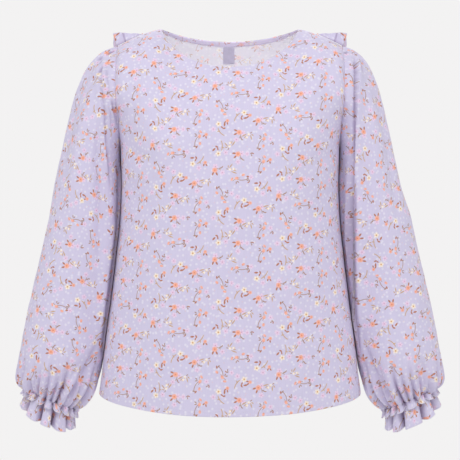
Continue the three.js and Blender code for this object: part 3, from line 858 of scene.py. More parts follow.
def line_above(points, normals, lengths, distance, lift):
    """The line at a distance up every column from its first row, with its normals."""
    columns = np.arange(points.shape[1])
    upper = np.argmax(lengths - lengths[0] > distance, axis=0)
    low, high = (lengths - lengths[0])[upper - 1, columns], (lengths - lengths[0])[upper, columns]
    share = ((distance - low) / (high - low))[:, None]
    point = mix(points[upper - 1, columns], points[upper, columns], share)
    normal = unit(mix(normals[upper - 1, columns], normals[upper, columns], share))
    return point + normal * lift, normal


def make_body():
    """The front and back, with the stitches of the hem and of the neck edge."""
    sizes = bpy.context.scene.blouse_sizes
    materials = [printed_cloth(), wrong_side()]
    hem = sizes.hem / MM
    for side, panel, folds, creases, seed in (
        ("front", FRONT, FRONT_FOLDS, FRONT_CREASES, 3),
        ("back", BACK, BACK_FOLDS, BACK_CREASES, 8),
    ):
        points, normals, uv, turn = panel_grid(panel, folds, creases, seed)
        lengths = uv[..., 1]
        from_edge = np.minimum(lengths - lengths[0], lengths[-1] - lengths)
        thickness = sizes.cloth / MM + 0.5 * smooth(hem + 0.8, hem - 0.8, from_edge)
        piece = shell(f"{side}_cloth", points, normals, thickness, uv, False, turn, materials)
        hem_line = line_above(points, normals, lengths, hem - 1.2, 0.05)
        neck = np.flatnonzero(np.abs(points[-1, :, 0]) <= NECK_HALF + 0.5)
        neck_line = line_above(
            points[::-1, neck], normals[::-1, neck], (lengths[-1] - lengths)[::-1, neck], 5, 0.05
        )
        stitches = stitch_row(
            f"{side}_stitches", [hem_line, neck_line], sizes.stitch / MM, 0.7, 0.45, 0.22, thread()
        )
        dress(piece, side)


def sleeve_grid(side):
    """A sleeve for the +X side as rings of points from the armhole to the elastic, moved out and
    in by its folds and gathers, with its flat-cloth coordinates."""
    sizes = bpy.context.scene.blouse_sizes
    count = sizes.sleeve_columns
    turns = np.arange(count + 1) / count - 0.5
    angle = turns[None, :-1] * 2 * np.pi
    degrees = np.degrees(angle)
    cap = np.linspace(0, 1, 44)[:-1, None] ** 1.35 - 1
    rest = np.concatenate([np.linspace(0, 5.5, 62)[:-1], np.linspace(5.5, LAST_RING, 66)])[:, None]
    base = np.concatenate([cap_point(cap + 1, angle), ring_point(rest, angle)])
    place = np.concatenate([cap, rest])
    _, axis = elastic_frame()

    def normals_of(points):
        normals = surface_normals(points, True, 1)
        normals[-1] = unit(normals[-1] - axis * (normals[-1] @ axis)[:, None])
        return normals

    v = column_lengths(base)
    v -= v[len(cap)]
    flat_width = CUTS["sleeve"][0] / MM
    u = np.broadcast_to(turns * flat_width, (len(place), count + 1))
    pleats = gather_relief(place, angle)
    relief = fold_relief(SLEEVE_FOLDS[side], place, degrees) + pleats
    relief = relief + fold_relief(SLEEVE_CREASES[side], place, degrees) * sizes.creases
    front = np.sin(angle) > 0
    edges = edge_relief(SLEEVE_EDGES[side], base[..., 0], base[..., 2]) * front
    heads = crease_relief(HEAD_CREASES[side], base[..., 0], base[..., 2]) * front
    relief = relief + (edges + heads) * sizes.creases
    # Painted shade: darker in the pleats' troughs, the hollows of the sharp folds and the head creases, and a
    # little towards the elastic
    deep = 0.8 * smooth(0, -7, pleats) + 0.5 * smooth(0, -4, edges) + 0.1 * smooth(4.5, 8, place)
    deep = deep + 0.7 * smooth(-0.5, -3, heads)
    seed = 11 if side == "left" else 23
    within = smooth(0, 0.1, place + 1) * smooth(0.5, 0.4, np.abs(turns[:-1]))
    rumple = rumple_relief(u[:, :-1], v, seed) * within
    relief = relief + rumple * sizes.rumple / MM
    points, inside = lay_beside_body(side, base + normals_of(base) * relief[..., None], degrees)
    # The painted shade of the tuck joins the painted shade of the folds
    deep = np.maximum(deep, inside)
    uv = np.stack([u, np.concatenate([v, v[:, :1]], axis=1)], axis=-1)
    return points, normals_of(points), uv, deep


def place_on(side, points):
    """The grid itself on the left side, and its mirror image on the right."""
    return points if side == "left" else points * (-1, 1, 1)


def make_sleeve(side):
    sizes = bpy.context.scene.blouse_sizes
    turn = 1 if side == "left" else -1
    points, normals, uv, deep = sleeve_grid(side)
    piece = shell(
        f"sleeve_{side}_cloth",
        place_on(side, points),
        place_on(side, normals),
        sizes.cloth / MM,
        uv + (173 * turn, 40),
        True,
        turn,
        [printed_cloth(), wrong_side()],
        deep,
    )
    dress(piece, f"sleeve_{side}")


def cuff_grid(frill, phase, share_of_stray):
    """A fluted frill below the elastic. Each flute is a cosine round the wrist, widened at its
    crest by its own sine and narrowed in its trough by a power, and grows with the flare towards
    the free edge. At the elastic the frill follows the sleeve's pleats."""
    centre, axis = elastic_frame()
    hang = unit(mix(axis, np.array([0, 0, -1]), CUFF_HANG))
    share = np.linspace(0, 1, frill["rows"])[:, None]
    growth = share ** frill["bend"]
    angle = np.arange(frill["columns"])[None, :] * 2 * np.pi / frill["columns"]
    stray = np.sin(2 * angle + phase) + 0.8 * np.sin(5 * angle + 2 * phase)
    stray = stray * frill["stray"] * share_of_stray
    flute = frill["waves"] * angle + np.pi + stray
    trough = (1 - np.cos(flute - frill["plump"] * growth * np.sin(flute))) / 2
    wave = 1 - 2 * trough ** mix(1, frill["narrow"], growth)
    edge = ring_point(LAST_RING, angle)
    outward = unit(edge - centre)
    length = share * frill["length"] * (1 - frill["side_loss"] * np.cos(angle) ** 4)
    length = length * (1 + frill["scallop"] * wave)
    pleats = gather_relief(LAST_RING, angle) * smooth(7, 0, length)
    out = frill["out"] + frill["flare"] * growth + pleats
    height = (frill["start_wave"] + frill["wave"] * growth) * (1 + 0.2 * np.sin(3 * angle + phase))
    points = edge + outward * (out + height * wave)[..., None] + axis * CUFF_GAP
    # Painted shade in the troughs of the flutes, lighter towards the free edge, and painted shadow near the
    # elastic
    deep = trough ** frill["dark"] * mix(1, 0.7, share) + frill["shadow"] * smooth(11, 7, length)
    return points + hang * length[..., None], deep


def rolled_edge(name, line, normals, turn):
    """The rolled hem round a frill's free edge: a closed tube of six sides about the edge."""
    along = unit(np.roll(line, -1, axis=0) - np.roll(line, 1, axis=0))
    aside = np.cross(along, normals)
    around = (np.arange(6) * np.pi / 3)[:, None, None]
    points = line + EDGE_RADIUS * (np.cos(around) * normals + np.sin(around) * aside)
    number = np.arange(6 * len(line)).reshape(6, -1)
    next_row, next_column = np.roll(number, -1, axis=0), np.roll(number, -1, axis=1)
    across = np.roll(next_row, -1, axis=1)
    faces = np.stack([side.ravel() for side in (number, next_row, across, next_column)], axis=1)
    piece = mesh_piece(name, points.reshape(-1, 3) * MM, faces[:, ::turn], np.ones(len(faces), bool))
    piece.data.materials.append(thread())
    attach(piece, "root")
    return piece


def make_cuff(side, kind, frill):
    sizes = bpy.context.scene.blouse_sizes
    turn = 1 if side == "left" else -1
    points, deep = cuff_grid(frill, *CUFF_STRAY[side])
    normals = surface_normals(points, True, 1)
    width, _, _ = CUTS[kind]
    u = np.linspace(0, width / MM, frill["columns"] + 1)
    v = -np.linspace(0, frill["length"], frill["rows"])
    uv = np.stack(np.broadcast_arrays(u[None, :], v[:, None]), axis=-1) + (37 * turn, 300)
    thickness = sizes.cloth / MM + 0.3 * smooth(0.06, 0, 1 - np.linspace(0, 1, frill["rows"]))[:, None]
    piece = shell(
        f"{kind}_{side}_cloth",
        place_on(side, points),
        place_on(side, normals),
        thickness,
        uv,
        True,
        turn,
        [printed_cloth(), wrong_side()],
        deep,
    )
    edge = rolled_edge(f"{kind}_{side}_edge", place_on(side, points[-1]), place_on(side, normals[-1]), turn)
    dress(piece, f"{kind}_{side}")


def make_shoulder_frill(side):
    """A ribbon that stands on the shoulder seam and runs a little down the back of the armhole.
    Its height fades to both ends and it sways to either side of its line in a sine."""
    sizes = bpy.context.scene.blouse_sizes
    turn = 1 if side == "left" else -1
    s = np.linspace(FRILL_INNER / SHOULDER_HALF, 1, 40)
    seam_z, _ = top_edge(FRONT, s)
    seam = points_of(s * SHOULDER_HALF, 0 * s, seam_z)
    behind = armhole_edge(2 * np.pi - np.radians(np.linspace(0, FRILL_BACK_ANGLE, 60)[1:]))
    line = np.concatenate([seam, behind])
    run = np.concatenate([[0], np.cumsum(np.linalg.norm(np.diff(line, axis=0), axis=1))])
    t = np.linspace(0, 1, 150)
    foot = np.stack([np.interp(t * run[-1], run, line[:, k]) for k in range(3)], axis=1)
    for _ in range(12):
        foot[1:-1] = (foot[:-2] + 2 * foot[1:-1] + foot[2:]) / 4
    along = unit(np.gradient(foot, axis=0))
    turn_back = smooth(0.35, 0.75, t)
    stand = unit(points_of(mix(0.02, 0.36, smooth(0.1, 0.36, t)), mix(0.2, 0.5, turn_back), 1.0))
    aside = unit(np.cross(along, stand))
    top = FRILL_TOP - FRILL_SLOPE * smooth(172, FRILL_INNER, foot[:, 0])
    full = np.minimum(top - foot[:, 2], top + SHOULDER_DROP)
    height = np.maximum(full * smooth(1, 0.62, t), FRILL_FOOT)
    share = np.linspace(0, 1, 18)[:, None]
    wave = FRILL_WAVE * share * np.sin(2 * np.pi * FRILL_WAVES * t) * smooth(0, 0.2, t) * smooth(1, 0.85, t)
    wave = wave * (1 - bell(t - FRILL_TURN, 0.12)) * mix(1, 0.25, smooth(FRILL_TURN, 0.56, t))
    tuck = bell(t - FRILL_TUCK, 0.013) * np.ones_like(share)
    aside_by = wave - 2.2 * tuck * share
    points = foot + stand * (FRILL_LIFT + share * height)[..., None] + aside * aside_by[..., None]
    normals = surface_normals(points, False, 1)
    thickness = sizes.cloth / MM
    points = points + normals * thickness / 2
    uv = np.stack([level_lengths(points), column_lengths(points)], axis=-1) + (61, 210)
    # The last argument of the shell is painted shade at the tuck and along the foot of the frill
    piece = shell(
        f"shoulder_frill_{side}_cloth",
        place_on(side, points),
        place_on(side, normals),
        thickness + 0.3 * smooth(0.1, 0, 1 - share),
        uv,
        False,
        turn,
        [printed_cloth(), printed_cloth()],
        0.6 * tuck + 0.35 * smooth(0.3, 0, share),
    )
    dress(piece, f"shoulder_frill_{side}")


def inside_strip(name, lines, across, depth, thickness, materials):
    """A strip inside the back, which follows the back's own points at distances down from its
    neck edge and at places across, moved in by a depth along the normals."""
    points, normals, uv, turn = panel_grid(BACK, BACK_FOLDS, BACK_CREASES, 8)
    columns = np.flatnonzero(np.abs(points[-1, :, 0]) <= NECK_HALF + 0.5)
    points, normals, lengths = points[::-1, columns], normals[::-1, columns], uv[::-1, columns, 1]
    grid = []
    for distance in lines[::-1]:
        row, direction = line_above(points, normals, lengths[0] - lengths, distance, 0)
        both = np.concatenate([row - direction * depth, direction], axis=1)
        grid.append(np.stack([np.interp(across, both[:, 0], both[:, k]) for k in range(6)], axis=1))
    grid = np.stack(grid)
    flat = np.stack([level_lengths(grid), column_lengths(grid)], axis=-1)
    return shell(name, grid[..., :3], unit(grid[..., 3:]), thickness, flat, False, turn, materials)


def make_neck():
    """The facing along the back neck edge, and the blank label that hangs from it."""
    sizes = bpy.context.scene.blouse_sizes
    lines = np.concatenate([[0.4], np.linspace(0.8, 6.6, 16), [7]])
    across = np.linspace(0.5 - NECK_HALF, NECK_HALF - 0.5, 120)
    # The facing and the label glow with painted light
    cloth = paint_glow_from_behind(print_material("Printed facing", 0.35))
    facing = inside_strip("neck_facing_cloth", lines, across, 1.35, sizes.cloth / MM, [cloth, cloth])
    dress(facing, "neck_facing")
    woven = paint_glow_from_behind(plain_cloth("Woven label", bpy.context.scene.blouse_colours.label, 0.5))
    down = np.linspace(7.4, 39, 30)
    label = inside_strip("label_cloth", down, np.linspace(-11.4, 7.4, 20), 1.3, 0.8, [woven, woven])
    dress(label, "label")


# Materials.


def put(tree, kind, inputs=(), **settings):
    """Adds a node with its settings, and gives its inputs a value or a link from a socket."""
    node = tree.nodes.new(f"ShaderNode{kind}")
    for key, value in settings.items():
        setattr(node, key, value)
    for key, value in dict(inputs).items():
        if isinstance(value, bpy.types.NodeSocket):
            tree.links.new(value, node.inputs[key])
        else:
            node.inputs[key].default_value = value
    return node


def sum_of(tree, operation, *values):
    return put(tree, "Math", enumerate(values), operation=operation).outputs[0]


def ramp(tree, value, start, end, low=0.0, high=1.0):
    """The value from start to end brought to low to high, and held there beyond."""
    inputs = {"Value": value, "From Min": start, "From Max": end, "To Min": low, "To Max": high}
    return put(tree, "MapRange", inputs).outputs["Result"]


def blend(tree, share, base, colour):
    inputs = {0: share, 6: base, 7: colour}
    return put(tree, "Mix", inputs, data_type="RGBA").outputs[2]


def new_group(name, inputs, outputs):
    """An empty node group, given as (name, kind, value) and (name, kind)."""
    tree = bpy.data.node_groups.new(name, "ShaderNodeTree")
    for label, kind, value in inputs:
        socket = tree.interface.new_socket(label, in_out="INPUT", socket_type=f"NodeSocket{kind}")
        socket.default_value = value
    for label, kind in outputs:
        tree.interface.new_socket(label, in_out="OUTPUT", socket_type=f"NodeSocket{kind}")
    return tree, tree.nodes.new("NodeGroupInput").outputs, tree.nodes.new("NodeGroupOutput").inputs


def use_group(tree, group, inputs):
    node = put(tree, "Group", node_tree=group)
    for key, value in inputs.items():
        if isinstance(value, bpy.types.NodeSocket):
            tree.links.new(value, node.inputs[key])
        else:
            node.inputs[key].default_value = value
    return node.outputs


def own_place(tree, given):
    """A point as a form of the print sees it: from its middle, in its own turn and half sizes."""
    inputs = {
        "Vector": given["Vector"],
        "Location": given["Place"],
        "Rotation": given["Turn"],
        "Scale": given["Half"],
    }
    return put(tree, "Mapping", inputs, vector_type="TEXTURE").outputs[0]


def leaf_group():
    """A pointed leaf: inside the two arcs |y| = 1 - x x, in its own half length and half width."""
    tree, given, made = new_group(
        "Leaf",
        [
            ("Vector", "Vector", (0, 0, 0)),
            ("Base", "Color", (1, 1, 1, 1)),
            ("Colour", "Color", (0, 0, 0, 1)),
            ("Show", "Float", 1.0),
            ("Place", "Vector", (0, 0, 0)),
            ("Turn", "Vector", (0, 0, 0)),
            ("Half", "Vector", (1, 1, 1)),
        ],
        [("Colour", "Color")],
    )
    place = own_place(tree, given)
    axes = put(tree, "SeparateXYZ", {0: place}).outputs
    edge = sum_of(tree, "MULTIPLY_ADD", axes["X"], axes["X"], sum_of(tree, "ABSOLUTE", axes["Y"]))
    mask = ramp(tree, edge, 1.15, 0.8, 0.0, given["Show"])
    tree.links.new(blend(tree, mask, given["Base"], given["Colour"]), made["Colour"])
    return tree


def bud_group():
    """A round bud: an oval with a darker cup at one end."""
    tree, given, made = new_group(
        "Bud",
        [
            ("Vector", "Vector", (0, 0, 0)),
            ("Base", "Color", (1, 1, 1, 1)),
            ("Colour", "Color", (0, 0, 0, 1)),
            ("Cup", "Color", (0, 0, 0, 1)),
            ("Show", "Float", 1.0),
            ("Place", "Vector", (0, 0, 0)),
            ("Turn", "Vector", (0, 0, 0)),
            ("Half", "Vector", (1, 1, 1)),
        ],
        [("Colour", "Color")],
    )
    place = own_place(tree, given)
    distance = put(tree, "VectorMath", {0: place}, operation="LENGTH").outputs["Value"]
    mask = ramp(tree, distance, 1.12, 0.85, 0.0, given["Show"])
    x = put(tree, "SeparateXYZ", {0: place}).outputs["X"]
    petal = blend(tree, ramp(tree, x, -0.1, -0.8, 0.0, 0.7), given["Colour"], given["Cup"])
    tree.links.new(blend(tree, mask, given["Base"], petal), made["Colour"])
    return tree


def stem_group():
    """A curved stem: a band round the parabola y = bend (1 - x x), which thins to its ends."""
    tree, given, made = new_group(
        "Stem",
        [
            ("Vector", "Vector", (0, 0, 0)),
            ("Base", "Color", (1, 1, 1, 1)),
            ("Colour", "Color", (0, 0, 0, 1)),
            ("Show", "Float", 1.0),
            ("Place", "Vector", (0, 0, 0)),
            ("Turn", "Vector", (0, 0, 0)),
            ("Half", "Vector", (1, 1, 1)),
            ("Bend", "Float", 0.0),
            ("Thickness", "Float", 0.4),
        ],
        [("Colour", "Color")],
    )
    place = own_place(tree, given)
    axes = put(tree, "SeparateXYZ", {0: place}).outputs
    short = sum_of(tree, "SUBTRACT", 1.0, sum_of(tree, "MULTIPLY", axes["X"], axes["X"]))
    middle = sum_of(tree, "MULTIPLY", given["Bend"], short)
    away = sum_of(tree, "ABSOLUTE", sum_of(tree, "SUBTRACT", axes["Y"], middle))
    inside = sum_of(tree, "DIVIDE", away, given["Thickness"])
    mask = ramp(tree, inside, 1.4, 0.6, 0.0, given["Show"])
    ends = ramp(tree, short, 0.0, 0.25)
    faded = sum_of(tree, "MULTIPLY", mask, ends)
    tree.links.new(blend(tree, faded, given["Base"], given["Colour"]), made["Colour"])
    return tree


def blossom_group():
    """A flower with five petals: its radius shrinks between petals by a cosine of five times the
    angle, and a round heart of another colour lies in the middle, whose colour tints the petals between their
    lobes."""
    tree, given, made = new_group(
        "Blossom",
        [
            ("Vector", "Vector", (0, 0, 0)),
            ("Base", "Color", (1, 1, 1, 1)),
            ("Colour", "Color", (0, 0, 0, 1)),
            ("Heart", "Color", (0, 0, 0, 1)),
            ("Show", "Float", 1.0),
            ("Place", "Vector", (0, 0, 0)),
            ("Turn", "Float", 0.0),
            ("Radius", "Float", 4.0),
            ("Cut", "Float", 0.2),
            ("Heart size", "Float", 0.25),
        ],
        [("Colour", "Color")],
    )
    offset = put(tree, "VectorMath", {0: given["Vector"], 1: given["Place"]}, operation="SUBTRACT").outputs[0]
    axes = put(tree, "SeparateXYZ", {0: offset}).outputs
    length = put(tree, "VectorMath", {0: offset}, operation="LENGTH").outputs["Value"]
    angle = sum_of(tree, "ARCTAN2", axes["Y"], axes["X"])
    lobes = sum_of(tree, "COSINE", sum_of(tree, "MULTIPLY_ADD", angle, 5.0, given["Turn"]))
    edge = sum_of(tree, "MULTIPLY_ADD", lobes, given["Cut"], 1.0)
    out = sum_of(tree, "DIVIDE", length, given["Radius"])
    mask = ramp(tree, sum_of(tree, "DIVIDE", out, edge), 1.14, 0.84, 0.0, given["Show"])
    petal = blend(tree, ramp(tree, lobes, 0.2, -0.9, 0.0, 0.28), given["Colour"], given["Heart"])
    heart = ramp(tree, sum_of(tree, "SUBTRACT", out, given["Heart size"]), 0.12, -0.06)
    flower = blend(tree, heart, petal, given["Heart"])
    tree.links.new(blend(tree, mask, given["Base"], flower), made["Colour"])
    return tree


PRINT_COLOURS = (
    "ground",
    "dot",
    "coral",
    "coral_heart",
    "pink",
    "pink_heart",
    "cream",
    "cream_heart",
    "leaf",
    "twig",
    "tan",
)

# Motifs of the print, drawn in millimetres about their own middle. The last numbers are: for a
# blossom radius, petal turn, petal cut and heart size; for a leaf turn in degrees, half length and
# half width; for a bud the same; for a stem turn, half length, bend and thickness.
MOTIFS = {
    "Rose with pale flowers": [
        ("stem", "twig", "", 2.5, -1.6, -28, 6.0, 1.4, 0.35),
        ("blossom", "pink", "pink_heart", -3.2, 3.2, 3.3, 0.6, 0.16, 0.18),
        ("blossom", "pink", "pink_heart", 6.0, -3.8, 3.1, 1.9, 0.18, 0.2),
        ("leaf", "leaf", "", -5.6, -6.0, -105, 2.6, 1.1),
        ("leaf", "leaf", "", -0.9, -5.7, -58, 2.6, 1.1),
        ("leaf", "twig", "", 3.2, 1.7, 28, 2.2, 0.8),
        ("leaf", "twig", "", 5.2, 3.2, 68, 1.7, 0.7),
        ("blossom", "coral", "coral_heart", -3.6, -1.4, 3.2, 0.2, 0.08, 0.3),
    ],
    "Spray of buds": [
        ("stem", "twig", "", -0.5, 3.4, -66, 7.6, 2.0, 0.45),
        ("stem", "twig", "", 3.2, -3.6, -48, 5.4, -1.0, 0.35),
        ("leaf", "leaf", "", -4.9, 8.6, 98, 2.2, 1.0),
        ("leaf", "twig", "", -2.6, 9.6, 42, 2.0, 0.9),
        ("leaf", "twig", "", 5.2, -1.0, 62, 2.0, 0.75),
        ("leaf", "twig", "", 7.0, -2.6, 12, 1.9, 0.75),
        ("bud", "coral", "coral_heart", -5.0, 2.6, 130, 2.1, 1.6),
        ("bud", "coral", "coral_heart", 1.6, -4.0, -60, 2.4, 1.9),
        ("bud", "coral", "coral_heart", 4.6, -9.0, -10, 2.2, 1.4),
    ],
    "Cream flower with stem": [
        ("stem", "tan", "", 4.6, 4.2, 50, 6.6, -1.6, 0.6),
        ("leaf", "tan", "", 4.6, 1.0, -62, 2.2, 0.7),
        ("blossom", "pink", "pink_heart", 3.2, -6.0, 3.1, 1.1, 0.16, 0.2),
        ("blossom", "cream", "cream_heart", -4.6, -1.0, 3.2, 0.4, 0.16, 0.3),
        ("leaf", "leaf", "", -5.4, 6.4, 4, 2.9, 1.15),
        ("leaf", "leaf", "", -0.4, 6.8, -66, 2.3, 1.0),
        ("leaf", "leaf", "", -1.2, 3.8, 64, 2.0, 0.9),
    ],
    "Tan sprig": [
        ("leaf", "tan", "", -4.9, -2.0, 52, 4.6, 0.95),
        ("leaf", "tan", "", -2.6, -3.6, 66, 2.6, 0.7),
        ("leaf", "tan", "", 5.2, -0.6, -52, 4.0, 0.9),
        ("leaf", "tan", "", 5.4, 3.2, -18, 2.3, 0.8),
        ("leaf", "twig", "", 2.4, 5.4, 62, 2.0, 0.7),
        ("bud", "cream", "cream_heart", 0.6, 1.6, 100, 2.1, 1.8),
        ("bud", "cream", "cream_heart", -0.2, -3.2, 70, 1.9, 1.6),
    ],
    "Pale flower with leaves": [
        ("leaf", "twig", "", 4.0, 2.6, 58, 2.0, 0.9),
        ("leaf", "leaf", "", 6.2, 3.4, -10, 1.7, 0.85),
        ("leaf", "twig", "", 5.6, 0.4, -62, 1.8, 0.8),
        ("blossom", "pink", "pink_heart", -1.0, -0.4, 3.3, 0.5, 0.17, 0.19),
    ],
    "Single bud with leaves": [
        ("leaf", "leaf", "", -1.0, -2.8, -98, 2.2, 1.0),
        ("leaf", "leaf", "", 2.6, -2.0, -36, 2.2, 1.0),
        ("blossom", "coral", "coral_heart", 0.0, 1.0, 2.4, 0.9, 0.1, 0.26),
    ],
}


def motif_group(name, rows, groups):
    """One motif, painted over a base colour, row by row of its table."""
    colours = [(colour, "Color", (1, 1, 1, 1)) for colour in PRINT_COLOURS]
    tree, given, made = new_group(
        name,
        [("Vector", "Vector", (0, 0, 0)), ("Base", "Color", (1, 1, 1, 1)), ("Show", "Float", 1.0), *colours],
        [("Colour", "Color")],
    )
    painted = given["Base"]
    for kind, colour, second, x, y, *numbers in rows:
        inputs = {
            "Vector": given["Vector"],
            "Base": painted,
            "Colour": given[colour],
            "Show": given["Show"],
            "Place": (x, y, 0),
        }
        if kind == "blossom":
            radius, turn, cut, heart = numbers
            inputs |= {"Heart": given[second], "Heart size": heart, "Radius": radius}
            inputs |= {"Turn": turn, "Cut": cut}
        else:
            turn, half_length, half_width, *rest = numbers
            inputs["Turn"] = (0, 0, math.radians(turn))
            inputs["Half"] = (half_length, half_width, 1)
            if kind == "bud":
                inputs["Cup"] = given[second]
            if kind == "stem":
                inputs["Half"] = (half_length, 1, 1)
                inputs |= {"Bend": half_width, "Thickness": rest[0]}
        painted = use_group(tree, groups[kind], inputs)["Colour"]
    tree.links.new(painted, made["Colour"])
    return tree


REPEAT = (3, 4)  # motifs across and up before the print starts again
CELL = (29.6, 31.0)  # cloth for one motif of a layer, in the print's own millimetres
DROP = 0.38  # share of a cell by which each column starts lower than the one before
PRINT_SIZE = 1.12  # millimetres of cloth to one of the print's own

# The two layers of motifs: shift of the layer, how far a motif strays, seed, scale and motifs
LARGE_MOTIFS = ("Rose with pale flowers", "Spray of buds", "Cream flower with stem")
SMALL_MOTIFS = ("Tan sprig", "Pale flower with leaves", "Single bud with leaves")
LAYERS = [
    ((0, 0), (4.4, 5.4), 4.0, 1.12, LARGE_MOTIFS),
    ((14.8, 15.5), (11.0, 12.0), 9.0, 1.0, SMALL_MOTIFS),
]


def cell_group():
    """Cuts the cloth into cells. In each cell it gives the place from the motif's own middle, which
    strays from the cell's middle and is turned by chance, and the motif's number. The chance comes
    from the cell's number within the repeat, so that the print repeats as a printed cloth does."""
    tree, given, made = new_group(
        "Cell",
        [
            ("Vector", "Vector", (0, 0, 0)),
            ("Shift", "Vector", (0, 0, 0)),
            ("Stray", "Vector", (6, 6, 0)),
            ("Seed", "Float", 0.0),
        ],
        [("Vector", "Vector"), ("Motif", "Float")],
    )

    def vector(operation, *values):
        return put(tree, "VectorMath", enumerate(values), operation=operation).outputs[0]

    straight = vector("DIVIDE", vector("ADD", given["Vector"], given["Shift"]), (*CELL, 1))
    column = sum_of(tree, "FLOOR", put(tree, "SeparateXYZ", {0: straight}).outputs["X"])
    drop = put(tree, "CombineXYZ", {"Y": sum_of(tree, "MULTIPLY", column, DROP)}).outputs[0]
    scaled = vector("ADD", straight, drop)
    cell = vector("FLOOR", scaled)
    off_middle = vector("SUBTRACT", vector("SUBTRACT", scaled, cell), (0.5, 0.5, 0))
    inside = vector("MULTIPLY", off_middle, (*CELL, 0))
    number = vector("WRAP", cell, (*REPEAT, 1), (0, 0, 0))
    seeded = put(tree, "CombineXYZ", {"Z": given["Seed"]}).outputs[0]
    numbered = vector("ADD", number, seeded)
    chance = put(tree, "TexWhiteNoise", {"Vector": numbered}, noise_dimensions="3D").outputs
    stray = vector("MULTIPLY", vector("SUBTRACT", chance["Color"], (0.5, 0.5, 0.5)), given["Stray"])
    turn = sum_of(tree, "MULTIPLY", chance["Value"], 2 * math.pi)
    local = vector("SUBTRACT", inside, stray)
    turned = put(tree, "VectorRotate", {"Vector": local, "Angle": turn}, rotation_type="Z_AXIS").outputs[0]
    axes = put(tree, "SeparateXYZ", {0: number}).outputs
    motif = sum_of(tree, "WRAP", sum_of(tree, "SUBTRACT", axes["X"], axes["Y"]), 3.0, 0.0)
    tree.links.new(turned, made["Vector"])
    tree.links.new(motif, made["Motif"])
    return tree


def print_group():
    """The whole print: soft dots, then both layers of motifs, on a ground that is a little uneven."""
    made_before = bpy.data.node_groups.get("Flower print")
    if made_before:
        return made_before
    colours = bpy.context.scene.blouse_colours
    tree, given, made = new_group(
        "Flower print",
        [
            ("Vector", "Vector", (0, 0, 0)),
            ("Fade", "Float", 0.0),
            ("Faded", "Color", colours.faded),
            *[(colour, "Color", getattr(colours, colour)) for colour in PRINT_COLOURS],
        ],
        [("Colour", "Color")],
    )
    groups = {"leaf": leaf_group(), "bud": bud_group(), "stem": stem_group(), "blossom": blossom_group()}
    cell = cell_group()
    sized = {0: given["Vector"], "Scale": 1 / PRINT_SIZE}
    place = put(tree, "VectorMath", sized, operation="SCALE").outputs[0]
    cloud = put(tree, "TexNoise", {"Vector": place, "Scale": 0.05, "Detail": 2.0}).outputs["Fac"]
    painted = blend(tree, ramp(tree, cloud, 0.35, 0.75, 0.0, 0.12), given["ground"], given["pink"])
    for size, radius, share, colour in ((8.4, 0.26, 0.56, "dot"), (15.0, 0.085, 0.18, "coral")):
        spots = put(
            tree,
            "TexVoronoi",
            {"Vector": place, "Scale": 1 / size, "Randomness": 1.0},
            voronoi_dimensions="2D",
        )
        mask = ramp(tree, spots.outputs["Distance"], radius, radius * 0.45, 0.0, share)
        painted = blend(tree, mask, painted, given[colour])
    for shift, stray, seed, scale, motifs in LAYERS:
        layer = use_group(
            tree, cell, {"Vector": place, "Shift": (*shift, 0), "Stray": (*stray, 0), "Seed": seed}
        )
        scaled = {0: layer["Vector"], "Scale": 1 / scale}
        drawn = put(tree, "VectorMath", scaled, operation="SCALE").outputs[0]
        for number, name in enumerate(motifs):
            show = sum_of(tree, "COMPARE", layer["Motif"], float(number), 0.25)
            shared = {colour: given[colour] for colour in PRINT_COLOURS}
            motif = motif_group(name, MOTIFS[name], groups)
            painted = use_group(
                tree, motif, {"Vector": drawn, "Base": painted, "Show": show, **shared}
            )["Colour"]
    tree.links.new(blend(tree, given["Fade"], painted, given["Faded"]), made["Colour"])
    return tree


def weave_group():
    """Height of a fine crepe: crossed threads broken up by noise, and slack threads here and there."""
    made_before = bpy.data.node_groups.get("Crepe weave")
    if made_before:
        return made_before
    tree, given, made = new_group(
        "Crepe weave",
        [("Vector", "Vector", (0, 0, 0)), ("Thread", "Float", 0.4), ("Slub", "Float", 0.5)],
        [("Height", "Float"), ("Slub", "Float")],
    )
    axes = put(tree, "SeparateXYZ", {0: given["Vector"]}).outputs
    turns = sum_of(tree, "DIVIDE", 2 * math.pi, given["Thread"])
    across = sum_of(tree, "SINE", sum_of(tree, "MULTIPLY", axes["X"], turns))
    down = sum_of(tree, "SINE", sum_of(tree, "MULTIPLY", axes["Y"], turns))
    crepe = put(tree, "TexNoise", {"Vector": given["Vector"], "Scale": 1.4, "Detail": 3.0}).outputs["Fac"]
    threads = sum_of(tree, "MULTIPLY", sum_of(tree, "MULTIPLY", across, down), 0.25)
    stretched = put(tree, "Mapping", {"Vector": given["Vector"], "Scale": (0.8, 0.05, 1)}).outputs[0]
    slack = put(tree, "TexNoise", {"Vector": stretched, "Scale": 1.0, "Detail": 2.0}).outputs["Fac"]
    slubs = sum_of(tree, "MULTIPLY", slack, given["Slub"])
    height = sum_of(tree, "ADD", sum_of(tree, "ADD", threads, crepe), slubs)
    tree.links.new(height, made["Height"])
    tree.links.new(slack, made["Slub"])
    return tree


def painted_shade_group():
    """Painted shade: multiplies the colour towards a dark tone by the amount given, where shade falls in
    folds.
    """
    made_before = bpy.data.node_groups.get("Painted shade tone")
    if made_before:
        return made_before
    tree, given, made = new_group(
        "Painted shade tone",
        [("Colour", "Color", (1, 1, 1, 1)), ("Painted shade", "Float", 0.0), ("Tone", "Color", PAINTED_SHADE_TONE)],
        [("Colour", "Color")],
    )
    inputs = {0: given["Painted shade"], 6: given["Colour"], 7: given["Tone"]}
    toned = put(tree, "Mix", inputs, data_type="RGBA", blend_type="MULTIPLY").outputs[2]
    tree.links.new(toned, made["Colour"])
    return tree


